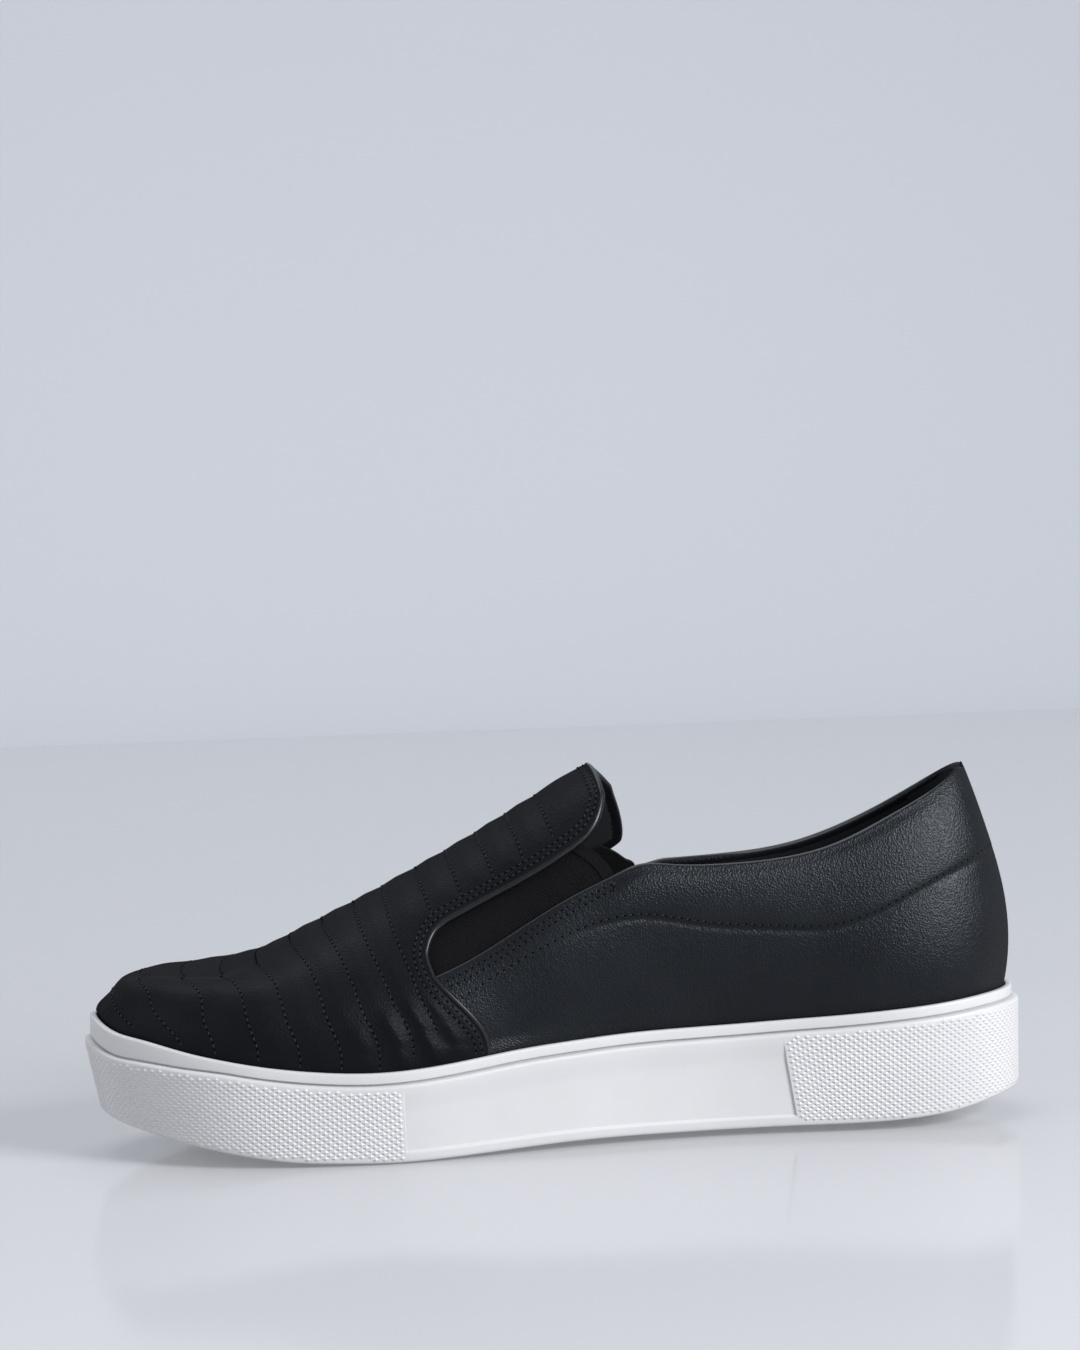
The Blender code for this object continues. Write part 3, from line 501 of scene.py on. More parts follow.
# Diamond studs of the bumpers
STUD_PITCH = 0.00242
STUD_ROW = 0.00172
STUD_HEIGHT = 0.00036
STUD_SINK = 0.00012
STUD_TOP_MARGIN = 0.0012
STUD_FOOT_MARGIN = 0.0012
STUD_SIDE_MARGIN = 0.0014

# Leather
LEATHER_DARK = (0.0038, 0.0043, 0.0054)
LEATHER_LIGHT = (0.0052, 0.0058, 0.0072)
QUARTER_ROUGHNESS = 0.40
QUARTER_SPECULAR = 0.24
# The vamp's copy of the leather is rougher and has a lower specular level, so that it reads darker than
# the quarters: painted shade for the vamp, which faces away from the key light.
VAMP_ROUGHNESS = 0.48
VAMP_SHADE_SPECULAR = 0.10
LEATHER_SHEEN_HUE = (0.84, 0.92, 1.0, 1.0)
GRAZING_ROUGHNESS = 0.45
EDGE_ROUGHNESS = 0.36
EDGE_SPECULAR = 0.42

# Dark and light tone of the lining, and of the painted shade in the needle's holes
LINING_TONES = ((0.0075, 0.0085, 0.0105), (0.0130, 0.0145, 0.0175))
HOLE_SHADE_TONES = ((0.0008, 0.0008, 0.0009), (0.0016, 0.0016, 0.0018))

# Light of the room, and each lamp's place, aim, size, power and colour
ROOM_COLOUR = (0.84, 0.89, 1.0, 1.0)
ROOM_STRENGTH = 0.33
LAMPS = (
    ("key_light", (1.35, -1.25, 0.95), (0.0, 0.0, 0.03), (0.8, 0.8), 50.0, (0.97, 0.985, 1.0)),
    ("top_light", (-0.2, 0.9, 2.3), (0.0, 0.7, 0.0), (2.6, 1.6), 24.0, (0.96, 0.98, 1.0)),
    ("fill_light", (-2.2, -0.8, 0.9), (-0.1, 0.0, 0.03), (1.8, 1.4), 17.0, (0.95, 0.97, 1.0)),
)

# Table and backdrop
FLOOR_DEPTH = 1.60
BACKDROP_RADIUS = 0.60
STAGE_HALF_WIDTH = 3.0
# Glow of the table and backdrop. On the table it is painted light that lightens the shade under and beside
# the shoe, strongest at the front and fading towards the back; on the backdrop it is even.
STUDIO_GLOW = (0.90, 0.93, 1.0)
TABLE_FRONT_PAINTED_GLOW = 0.22
TABLE_REAR_PAINTED_GLOW = 0.10
TABLE_PAINTED_GLOW_FADE = (-0.35, 0.25)
STAGE_FRONT = -3.0
BACKDROP_HEIGHT = 3.0

# Camera of the photograph, from the middle of the sole's two ends
CAMERA_PLACE = (-0.1142, -0.9847, 0.1840)
CAMERA_TURN = 6.5
CAMERA_PITCH = 3.178
CAMERA_ROLL = 1.6
CAMERA_FOCAL_PIXELS = 3512.4
IMAGE_LONG_SIDE = 1350.0
SENSOR = 36.0
CAMERA_REACH = (0.01, 20.0)


def smooth(low, high, value):
    """Soft step from 0 at low to 1 at high."""
    share = np.clip((value - low) / (high - low), 0.0, 1.0)
    return share * share * (3.0 - 2.0 * share)


def bell(distance, width):
    """Soft hump that is 1 in its middle and gone past two widths."""
    return np.exp(-(distance / width) ** 2)


def spline_slopes(knots, values, closed=False):
    """Second derivatives of the smooth curve through the values."""
    count = len(knots)
    matrix = np.zeros((count, count))
    right = np.zeros(values.shape)
    steps = np.diff(knots)
    for i in range(1, count - 1):
        matrix[i, i - 1] = steps[i - 1]
        matrix[i, i] = 2.0 * (steps[i - 1] + steps[i])
        matrix[i, i + 1] = steps[i]
        right[i] = 6.0 * ((values[i + 1] - values[i]) / steps[i]
                          - (values[i] - values[i - 1]) / steps[i - 1])
    if closed:
        matrix[0, 0] = 2.0 * (steps[0] + steps[-1])
        matrix[0, 1] = steps[0]
        matrix[0, count - 2] = steps[-1]
        right[0] = 6.0 * ((values[1] - values[0]) / steps[0]
                          - (values[0] - values[count - 2]) / steps[-1])
        matrix[-1, -1] = 1.0
        matrix[-1, 0] = -1.0
    else:
        matrix[0, 0] = 1.0
        matrix[-1, -1] = 1.0
    return np.linalg.solve(matrix, right)


def make_spline(knots, values, closed=False):
    """Function that reads a smooth curve through values at knots."""
    knots = np.asarray(knots, float)
    values = np.asarray(values, float)
    if values.ndim == 1:
        values = values[:, None]
    bends = spline_slopes(knots, values, closed)

    def read(place):
        place = np.clip(np.atleast_1d(np.asarray(place, float)), knots[0], knots[-1])
        left = np.clip(np.searchsorted(knots, place, side="right") - 1, 0, len(knots) - 2)
        step = (knots[left + 1] - knots[left])[:, None]
        part = (place - knots[left])[:, None] / step
        rest = 1.0 - part
        line = rest * values[left] + part * values[left + 1]
        bend = (rest ** 3 - rest) * bends[left] + (part ** 3 - part) * bends[left + 1]
        return line + bend * step ** 2 / 6.0

    return read


class Outline:
    """The sole's closed outline, read by place along each side."""

    def __init__(self):
        points = [(0.0, 0.0)]
        for place, inner, outer in OUTLINE:
            points.append((place * SOLE_LENGTH, -inner * BALL_WIDTH))
        points.append((SOLE_LENGTH, -TIP_REACH * BALL_WIDTH))
        for place, inner, outer in reversed(OUTLINE):
            points.append((place * SOLE_LENGTH, outer * BALL_WIDTH))
        points.append((0.0, 0.0))
        points = np.array(points)
        steps = np.linalg.norm(np.diff(points, axis=0), axis=1)
        knots = np.concatenate([[0.0], np.cumsum(steps)])
        self.read = make_spline(knots, points, closed=True)
        self.total = knots[-1]
        self.tip = knots[len(OUTLINE) + 1]

    def arc(self, place, side):
        """Distance round the outline to a place along one side."""
        if side < 0:
            samples = np.linspace(0.0, self.tip, OUTLINE_SAMPLES)
        else:
            samples = np.linspace(self.total, self.tip, OUTLINE_SAMPLES)
        along = np.maximum.accumulate(self.read(samples)[:, 0])
        along = along + np.linspace(0.0, 1e-7, len(along))
        return np.interp(place, along, samples)

    def points(self, arcs, inset):
        """Points of the outline moved inwards, as (from heel, across)."""
        step = 1e-4
        here = self.read(arcs)
        ahead = self.read((np.asarray(arcs) + step) % self.total)
        behind = self.read((np.asarray(arcs) - step) % self.total)
        tangent = ahead - behind
        tangent /= np.linalg.norm(tangent, axis=1)[:, None]
        inward = np.stack([-tangent[:, 1], tangent[:, 0]], axis=1)
        return here + inward * np.asarray(inset).reshape(-1, 1), -inward


OUTLINE_CURVE = Outline()


def read_line(table):
    """Smooth curves through the columns of a table, by place."""
    rows = np.array(table)
    return make_spline(rows[:, 0], rows[:, 1:])


TOP_CURVE = read_line(TOP_LINE)
EDGE_CURVE = read_line(EDGE_LINE)
CREST_CURVE = read_line(CREST_LINE)


def top_height(along):
    """Height of the cup's rim over the floor."""
    parts = TOP_CURVE(np.asarray(along) / SOLE_LENGTH)
    heel = (HEEL_STACK - BALL_STACK) * parts[:, 0]
    toe = (TOE_STACK - BALL_STACK) * parts[:, 1]
    return BALL_STACK + heel + toe


def edge_height(along):
    """Height of the cup's lower edge over the floor."""
    parts = EDGE_CURVE(np.asarray(along) / SOLE_LENGTH)
    heel = (EDGE_HEEL - EDGE_BALL) * parts[:, 0]
    waist = (EDGE_WAIST - EDGE_BALL) * parts[:, 1]
    toe = (EDGE_TOE - EDGE_BALL) * parts[:, 2]
    return EDGE_BALL + heel + waist + toe


def tread_top(along):
    """Height of the tread plate's upper face over the floor."""
    return edge_height(along) + TREAD_RIM


def wall_taper(along):
    """How far the wall's foot stands in from its top."""
    along = np.asarray(along)
    heel = 1.0 - smooth(0.0, HEEL_TAPER_END, along)
    toe = smooth(TOE_TAPER_START, SOLE_LENGTH, along)
    return HEEL_TAPER * heel + TOE_TAPER * toe + SIDE_TAPER * (1.0 - heel - toe)


def centre_line(along):
    """Sideways place of the vamp's crest, which bends in to the big toe."""
    share = np.clip(np.asarray(along) / SOLE_LENGTH - CREST_BEND_START, 0.0, 1.0)
    return -TIP_REACH * BALL_WIDTH * (share / (1.0 - CREST_BEND_START)) ** CREST_BEND_POWER


def middle_across():
    """Sideways middle of the sole's outline, where the origin stands."""
    across = OUTLINE_CURVE.read(np.linspace(0.0, OUTLINE_CURVE.total, 2001))[:, 1]
    return (across.min() + across.max()) / 2.0


MIDDLE_ACROSS = middle_across()


def to_frame(along, across, height):
    """From (from heel, across, height) to the part's own frame."""
    along, across, height = np.broadcast_arrays(along, across, height)
    return np.stack([SOLE_LENGTH / 2.0 - along, across - MIDDLE_ACROSS, height], axis=-1)


def pair_arcs(places):
    """Distances round the outline to the same places on both sides."""
    inner, outer = (OUTLINE_CURVE.arc(places, side) for side in (-1, 1))
    inner[0] = 0.0
    inner[-1] = OUTLINE_CURVE.tip
    return np.concatenate([inner, outer[::-1][1:-1]])


def skin_loops(mesh, loops):
    """Closed body between two ladders, with the loops in between."""
    rings = [[mesh.verts.new(tuple(point)) for point in loop] for loop in loops]
    count = len(loops[0])
    for upper, lower in zip(rings, rings[1:]):
        for i in range(count):
            j = (i + 1) % count
            mesh.faces.new((upper[i], upper[j], lower[j], lower[i]))
    for ring, flip in ((rings[0], True), (rings[-1], False)):
        half = count // 2
        for i in range(half):
            left_a, left_b = ring[i], ring[i + 1]
            right_a, right_b = ring[-i % count], ring[-(i + 1) % count]
            corners = []
            for vert in (left_a, left_b, right_b, right_a):
                if vert not in corners:
                    corners.append(vert)
            if flip:
                corners.reverse()
            mesh.faces.new(corners)


def skinned(name, loops, material, smooth_angle):
    """Closed body through loops, as an object of one material."""
    mesh = bmesh.new()
    skin_loops(mesh, loops)
    bmesh.ops.recalc_face_normals(mesh, faces=mesh.faces[:])
    data = bpy.data.meshes.new(name)
    mesh.to_mesh(data)
    mesh.free()
    data.materials.append(material)
    shade(data, smooth_angle)
    return add_object(name, data)


def read_ring():
    """Smooth closed curves through the sections of both sides."""
    rows = []
    last = len(INNER_SIDE) - 1
    for table, side, order in (
        (INNER_SIDE, -1, range(0, last + 1)),
        (OUTER_SIDE, 1, range(last - 1, -1, -1)),
    ):
        for i in order:
            foot, edge, reach, rise, flare, lean = table[i]
            arc = OUTLINE_CURVE.arc(foot * SOLE_LENGTH, side)
            rows.append((arc, edge, side * reach, rise, flare, lean))
    rows = np.array(rows)
    knots = np.arange(len(rows), dtype=float)
    rows[:, 0] -= OUTLINE_CURVE.total * knots / knots[-1]
    rows[-1] = rows[0]
    return make_spline(knots, rows, closed=True)


class UpperSide:
    """One side of the upper: sections between the sole and the crest."""

    def __init__(self, side):
        self.side = side
        self.ring = read_ring()
        self.span = 2 * (len(INNER_SIDE) - 1)
        crest = np.array(CREST)
        ahead = crest[-2:-4:-1].copy()
        ahead[:, 1] = 2.0 * crest[-1, 1] - ahead[:, 1]
        rows = np.arange(FIRST_CREST_ROW, FIRST_CREST_ROW + len(crest) + 2, dtype=float)
        self.crest = make_spline(rows, np.concatenate([crest, ahead]))

    def section(self, row):
        """Arc of the foot, edge place, edge side, rise, flare and lean."""
        row = np.asarray(row, float)
        place = row if self.side < 0 else self.span - row
        values = self.ring(place % self.span)
        values[:, 0] += OUTLINE_CURVE.total * (place % self.span) / self.span
        return values

    def foot(self, row):
        """Foot of each section on the rim, and the outward direction."""
        arcs = self.section(row)[:, 0]
        flat, outward = OUTLINE_CURVE.points(arcs, np.full(len(row), FEATHER_INSET))
        out = np.stack([-outward[:, 0], outward[:, 1], np.zeros(len(row))], axis=1)
        rim = top_height(OUTLINE_CURVE.read(arcs)[:, 0])
        return to_frame(flat[:, 0], flat[:, 1], rim), out

    def edge(self, row):
        """Collar or slot edge of each section."""
        sizes = self.section(row)
        along = sizes[:, 1] * SOLE_LENGTH
        across = sizes[:, 2] * BALL_WIDTH
        return to_frame(along, across, top_height(along) + sizes[:, 3] * HEEL_RISE)

    def top(self, row):
        """Crest of each section."""
        along = self.crest(row)[:, 0] * SOLE_LENGTH
        rise = CREST_CURVE(along / SOLE_LENGTH)[:, 0] * INSTEP_RISE
        return to_frame(along, centre_line(along), top_height(along) + rise)

    def edge_direction(self, row, foot, edge, out):
        """Direction of the wall at its edge, leaning in over the foot."""
        lean = np.radians(self.section(row)[:, 5])[:, None]
        slope = (edge - foot)[:, 0] / (edge - foot)[:, 2]
        along = np.stack([slope * EDGE_FOLLOW, np.zeros(len(row)), np.ones(len(row))], axis=1)
        along /= np.linalg.norm(along, axis=1)[:, None]
        return along * np.cos(lean) - out * np.sin(lean)

    def lower(self, row, share):
        """Points between the rim, share 0, and the edge, share 1."""
        foot, out = self.foot(row)
        edge = self.edge(row)
        flare = np.radians(self.section(row)[:, 4])[:, None]
        up = np.array([0.0, 0.0, 1.0])
        reach = np.linalg.norm(edge - foot, axis=1)[:, None] * FOOT_HANDLE
        first = foot + reach * (up * np.cos(flare) + out * np.sin(flare))
        last = edge - reach * self.edge_direction(row, foot, edge, out)
        return bezier(foot, first, last, edge, share)

    def upper(self, row, share):
        """Points between the edge, share 0, and the crest, share 1."""
        foot, out = self.foot(row)
        edge = self.edge(row)
        crest = self.top(row)
        turn = np.radians(self.crest(row)[:, 1])
        span = np.linalg.norm(crest - edge, axis=1)[:, None]
        inward = np.stack([np.sin(turn), -self.side * np.cos(turn), np.zeros(len(row))], axis=1)
        first = edge + span * EDGE_HANDLE * self.edge_direction(row, foot, edge, out)
        last = crest - span * CREST_HANDLE * inward
        return bezier(edge, first, last, crest, share)


def bezier(start, first, last, end, share):
    """Point at a share along a curve with two handles."""
    share = np.asarray(share).reshape(-1, 1)
    rest = 1.0 - share
    return (rest ** 3 * start + 3.0 * rest ** 2 * share * first
            + 3.0 * rest * share ** 2 * last + share ** 3 * end)


SLOT_CURVE = make_spline([row for row, _ in SLOT], [part for _, part in SLOT])


def slot_share(side, row):
    """Share of the upper part that the slot takes over the edge."""
    row = np.asarray(row, float)
    opening = SLOT_CURVE(row)[:, 0]
    if side.side > 0:
        lower = smooth(*OUTER_TAB_START, row) * (1.0 - smooth(*OUTER_TAB_END, row))
        opening = opening * (1.0 - OUTER_TAB_WIDER * lower)
    return np.where(row < SLOT_END_ROW, np.clip(opening, 0.0, 1.0), 0.0)


def surface(side, rows, place):
    """Upper's outer face: place 0 to 1 under the edge, 1 to 2 over it."""
    rows = np.asarray(rows, float)
    place = np.asarray(place, float) + 0.0 * rows
    low = side.lower(rows, np.clip(place, 0.0, 1.0))
    high = side.upper(np.maximum(rows, FIRST_CREST_ROW), np.clip(place - 1.0, 0.0, 1.0))
    return np.where((place <= 1.0)[:, None], low, high)


def surface_normal(side, rows, place):
    """Outward direction of the upper's outer face."""
    step = 0.01
    along = surface(side, rows + step, place) - surface(side, rows - step, place)
    rising = surface(side, rows, place + step) - surface(side, rows, place - step)
    normal = np.cross(along, rising) * side.side
    return normal / np.linalg.norm(normal, axis=1)[:, None]


def new_material(name):
    """Empty node material with its shader; returns material, tree, shader."""
    material = bpy.data.materials.new(name)
    material.use_nodes = True
    tree = material.node_tree
    return material, tree, tree.nodes["Principled BSDF"]


def object_coordinates(tree):
    """Object coordinates socket of a material."""
    return tree.nodes.new("ShaderNodeTexCoord").outputs["Object"]


def noise(tree, vector, scale, detail=3.0, roughness=0.55):
    """Noise texture's factor at a scale per metre."""
    node = tree.nodes.new("ShaderNodeTexNoise")
    node.inputs["Scale"].default_value = scale
    node.inputs["Detail"].default_value = detail
    node.inputs["Roughness"].default_value = roughness
    tree.links.new(vector, node.inputs["Vector"])
    return node.outputs["Fac"]


def cells(tree, vector, scale, feature="F1", smoothness=None):
    """Distance from the middle of the nearest cell."""
    node = tree.nodes.new("ShaderNodeTexVoronoi")
    node.feature = feature
    node.inputs["Scale"].default_value = scale
    if smoothness is not None:
        node.inputs["Smoothness"].default_value = smoothness
    tree.links.new(vector, node.inputs["Vector"])
    return node.outputs["Distance"]


def bump(tree, height, distance, strength=1.0, below=None):
    """Bump node on a height, over another normal."""
    node = tree.nodes.new("ShaderNodeBump")
    node.inputs["Strength"].default_value = strength
    node.inputs["Distance"].default_value = distance
    tree.links.new(height, node.inputs["Height"])
    if below is not None:
        tree.links.new(below, node.inputs["Normal"])
    return node.outputs["Normal"]


def ramp(tree, value, low, high, low_value, high_value):
    """Value mapped from one range to another."""
    node = tree.nodes.new("ShaderNodeMapRange")
    node.inputs["From Min"].default_value = low
    node.inputs["From Max"].default_value = high
    node.inputs["To Min"].default_value = low_value
    node.inputs["To Max"].default_value = high_value
    tree.links.new(value, node.inputs["Value"])
    return node.outputs["Result"]


def colour_mix(tree, factor, first, second):
    """Colour between two, by a factor."""
    node = tree.nodes.new("ShaderNodeMix")
    node.data_type = "RGBA"
    node.inputs["A"].default_value = (*first, 1.0)
    node.inputs["B"].default_value = (*second, 1.0)
    tree.links.new(factor, node.inputs["Factor"])
    return node.outputs["Result"]


def bent_vector(tree, vector, scale, amount):
    """Coordinates bent by a slow noise, so that cells look grown."""
    node = tree.nodes.new("ShaderNodeTexNoise")
    node.inputs["Scale"].default_value = scale
    node.inputs["Detail"].default_value = 1.0
    tree.links.new(vector, node.inputs["Vector"])
    blend = tree.nodes.new("ShaderNodeMix")
    blend.data_type = "VECTOR"
    blend.inputs["Factor"].default_value = amount
    tree.links.new(vector, blend.inputs["A"])
    tree.links.new(node.outputs["Color"], blend.inputs["B"])
    return blend.outputs["Result"]


def make_leather(name, roughness, specular):
    """Soft black leather, nearly matt, with a fine pebble grain."""
    material, tree, shader = new_material(name)
    place = object_coordinates(tree)
    bent = bent_vector(tree, place, 900.0, 0.0005)
    grain = cells(tree, bent, 1900.0, "SMOOTH_F1", 0.45)
    pores = noise(tree, place, 4200.0, 2.0)
    soft = noise(tree, place, 210.0, 3.0)
    normal = bump(tree, soft, 0.00022, 0.30)
    normal = bump(tree, grain, 0.00022, 0.55, normal)
    normal = bump(tree, pores, 0.00006, 0.35, normal)
    tree.links.new(normal, shader.inputs["Normal"])
    patches = noise(tree, place, 55.0, 3.0)
    tone = colour_mix(tree, ramp(tree, patches, 0.35, 0.65, 0.0, 1.0), LEATHER_DARK, LEATHER_LIGHT)
    tree.links.new(tone, shader.inputs["Base Color"])
    facing = tree.nodes.new("ShaderNodeLayerWeight")
    facing.inputs["Blend"].default_value = 0.5
    total = tree.nodes.new("ShaderNodeMath")
    total.operation = "ADD"
    tree.links.new(ramp(tree, patches, 0.3, 0.7, roughness - 0.03, roughness + 0.03),
                   total.inputs[0])
    tree.links.new(ramp(tree, facing.outputs["Facing"], 0.35, 0.85, 0.0, GRAZING_ROUGHNESS),
                   total.inputs[1])
    tree.links.new(total.outputs[0], shader.inputs["Roughness"])
    shader.distribution = "GGX"
    shader.inputs["Specular Tint"].default_value = LEATHER_SHEEN_HUE
    shader.inputs["Specular IOR Level"].default_value = specular
    return material


def make_rubber(name, light, dark, roughness):
    """White moulded rubber, faintly uneven."""
    material, tree, shader = new_material(name)
    place = object_coordinates(tree)
    patches = noise(tree, place, 38.0, 4.0)
    tone = colour_mix(tree, ramp(tree, patches, 0.35, 0.68, 0.0, 1.0), dark, light)
    tree.links.new(tone, shader.inputs["Base Color"])
    fine = noise(tree, place, 2600.0, 2.0)
    wave = noise(tree, place, 120.0, 2.0)
    normal = bump(tree, wave, 0.00012, 0.25)
    normal = bump(tree, fine, 0.00003, 0.35, normal)
    tree.links.new(normal, shader.inputs["Normal"])
    tree.links.new(ramp(tree, fine, 0.3, 0.7, roughness - 0.04, roughness + 0.04),
                   shader.inputs["Roughness"])
    shader.inputs["Specular IOR Level"].default_value = 0.40
    return material


def make_cloth(name, light, dark, scale, roughness):
    """Dark woven or knitted cloth with a fine crossed grain."""
    material, tree, shader = new_material(name)
    place = object_coordinates(tree)
    threads = cells(tree, place, scale, "F1")
    fuzz = noise(tree, place, scale * 2.1, 2.0)
    tone = colour_mix(tree, ramp(tree, threads, 0.05, 0.75, 1.0, 0.0), dark, light)
    tree.links.new(tone, shader.inputs["Base Color"])
    normal = bump(tree, threads, 0.00018, 0.7)
    normal = bump(tree, fuzz, 0.00008, 0.4, normal)
    tree.links.new(normal, shader.inputs["Normal"])
    tree.links.new(ramp(tree, fuzz, 0.3, 0.7, roughness - 0.05, roughness + 0.05),
                   shader.inputs["Roughness"])
    shader.inputs["Sheen Weight"].default_value = 0.03
    shader.inputs["Sheen Roughness"].default_value = 0.45
    shader.inputs["Specular IOR Level"].default_value = 0.12
    return material


def make_folded_edge():
    """Leather stretched over a fold: smoother and glossier."""
    material, tree, shader = new_material("folded_leather")
    place = object_coordinates(tree)
    soft = noise(tree, place, 900.0, 3.0)
    tree.links.new(bump(tree, soft, 0.00006, 0.40), shader.inputs["Normal"])
    tone = colour_mix(tree, ramp(tree, soft, 0.35, 0.65, 0.0, 1.0), LEATHER_DARK, LEATHER_LIGHT)
    tree.links.new(tone, shader.inputs["Base Color"])
    tree.links.new(ramp(tree, soft, 0.3, 0.7, EDGE_ROUGHNESS - 0.03, EDGE_ROUGHNESS + 0.03),
                   shader.inputs["Roughness"])
    shader.inputs["Specular IOR Level"].default_value = EDGE_SPECULAR
    return material


def make_lining():
    """Smooth lining of the tab and the quarters, with a soft nap."""
    material, tree, shader = new_material("black_lining")
    place = object_coordinates(tree)
    nap = noise(tree, place, 2600.0, 3.0)
    patches = noise(tree, place, 70.0, 2.0)
    normal = bump(tree, patches, 0.00030, 0.25)
    tree.links.new(bump(tree, nap, 0.00008, 0.45, normal), shader.inputs["Normal"])
    tone = colour_mix(tree, ramp(tree, nap, 0.3, 0.7, 0.0, 1.0), *LINING_TONES)
    tree.links.new(tone, shader.inputs["Base Color"])
    tree.links.new(ramp(tree, nap, 0.3, 0.7, 0.60, 0.68), shader.inputs["Roughness"])
    shader.inputs["Specular IOR Level"].default_value = 0.35
    return material


def make_thread():
    """Black sewing thread with a twisted lay."""
    material, tree, shader = new_material("black_thread")
    place = object_coordinates(tree)
    twist = noise(tree, place, 4200.0, 2.0)
    tone = colour_mix(tree, ramp(tree, twist, 0.35, 0.65, 0.0, 1.0),
                      (0.0040, 0.0044, 0.0054), (0.0130, 0.0138, 0.0160))
    tree.links.new(tone, shader.inputs["Base Color"])
    tree.links.new(bump(tree, twist, 0.00006, 0.7), shader.inputs["Normal"])
    shader.inputs["Roughness"].default_value = 0.45
    shader.inputs["Specular IOR Level"].default_value = 0.35
    return material


def make_hole_shade():
    """Painted shade of a needle's hole: a near-black matt finish for the small caps between stitches."""
    material, tree, shader = new_material("needle_hole_shade")
    place = object_coordinates(tree)
    depth = noise(tree, place, 3000.0, 2.0)
    tone = colour_mix(tree, ramp(tree, depth, 0.3, 0.7, 0.0, 1.0), *HOLE_SHADE_TONES)
    tree.links.new(tone, shader.inputs["Base Color"])
    shader.inputs["Roughness"].default_value = 0.95
    shader.inputs["Specular IOR Level"].default_value = 0.05
    return material


def make_studio(name, colour, roughness, specular, glow):
    """Studio surface, very slightly uneven, glowing more at the front than at the back; on the table this
    glow is painted light.
    """
    material, tree, shader = new_material(name)
    place = object_coordinates(tree)
    patches = noise(tree, place, 1.3, 2.0)
    low = tuple(0.985 * part for part in colour)
    tone = colour_mix(tree, ramp(tree, patches, 0.3, 0.7, 0.0, 1.0), low, colour)
    tree.links.new(tone, shader.inputs["Base Color"])
    shader.inputs["Roughness"].default_value = roughness
    shader.inputs["Specular IOR Level"].default_value = specular
    shader.inputs["Emission Color"].default_value = (*STUDIO_GLOW, 1.0)
    apart = tree.nodes.new("ShaderNodeSeparateXYZ")
    tree.links.new(object_coordinates(tree), apart.inputs[0])
    fade = ramp(tree, apart.outputs["Y"], TABLE_PAINTED_GLOW_FADE[0], TABLE_PAINTED_GLOW_FADE[1], glow[0], glow[1])
    tree.links.new(fade, shader.inputs["Emission Strength"])
    return material


def add_object(name, data):
    """Object at the origin, linked to the scene."""
    shape = bpy.data.objects.new(name, data)
    bpy.context.scene.collection.objects.link(shape)
    return shape


def shade(data, smooth_angle=None):
    """Smooth shading, with sharp edges past an angle in degrees."""
    data.shade_smooth()
    if smooth_angle is not None:
        data.set_sharp_from_angle(angle=math.radians(smooth_angle))


def mesh_object(name, points, faces, materials, face_materials, smooth_angle=None):
    """Object at the origin from points and faces, shaded smooth."""
    data = bpy.data.meshes.new(name)
    data.from_pydata([tuple(point) for point in points], [], faces)
    for material in materials:
        data.materials.append(material)
    data.polygons.foreach_set("material_index", np.asarray(face_materials, np.int32))
    shade(data, smooth_angle)
    data.update()
    return add_object(name, data)


def dress(shape, slot, *nodes):
    """A finished piece rides on the shoe and hides the nodes it stands for; its slot is not used."""
    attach(shape, "root")
    if nodes:
        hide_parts(*nodes)
    return shape


def path_distance(points, path):
    """Distance of each point from a path of straight pieces."""
    start, end = path[:-1], path[1:]
    run = end - start
    length = np.maximum((run * run).sum(axis=1), 1e-14)
    best = np.full(len(points), np.inf)
    for first in range(0, len(points), 4000):
        part = points[first:first + 4000, None, :]
        share = ((part - start) * run).sum(axis=2) / length
        share = np.clip(share, 0.0, 1.0)[:, :, None]
        gap = part - (start + share * run)
        best[first:first + 4000] = np.sqrt((gap * gap).sum(axis=2).min(axis=1))
    return best


def even_path(points, step):
    """Path read again at even distances."""
    steps = np.linalg.norm(np.diff(points, axis=0), axis=1)
    reach = np.concatenate([[0.0], np.cumsum(steps)])
    count = max(2, int(round(reach[-1] / step)) + 1)
    wanted = np.linspace(0.0, reach[-1], count)
    return np.stack([np.interp(wanted, reach, points[:, axis]) for axis in range(3)], axis=1)


def edge_drop(distance, radius):
    """How far a rounded rim has sunk at a distance from the edge."""
    share = np.clip(1.0 - distance / radius, 0.0, 1.0)
    return radius * (1.0 - np.sqrt(np.maximum(0.0, 1.0 - share * share)))


def even_rows(side, first, last, place, step, fine=()):
    """Section numbers at even distances on the surface, closer at some."""
    samples = np.linspace(first, last, 1200)
    points = surface(side, samples, np.full(len(samples), place))
    reach = np.concatenate([[0.0], np.cumsum(np.linalg.norm(np.diff(points, axis=0), axis=1))])
    density = np.full(len(samples), 1.0 / step)
    for row in fine:
        near = np.abs(reach - np.interp(row, samples, reach)) < FINE_REACH
        density[near] = 1.0 / FINE_STEP
    count = np.concatenate([[0.0], np.cumsum(np.diff(reach) * (density[1:] + density[:-1]) / 2.0)])
    wanted = np.linspace(0.0, count[-1], int(round(count[-1])) + 1)
    return np.interp(wanted, count, samples)


def face_grid(side, rows, places):
    """Points and outward directions, place by row; places may differ by row."""
    points, normals = [], []
    for place in places:
        line = np.broadcast_to(place, rows.shape)
        points.append(surface(side, rows, line))
        normals.append(surface_normal(side, rows, line))
    return np.array(points), np.array(normals)


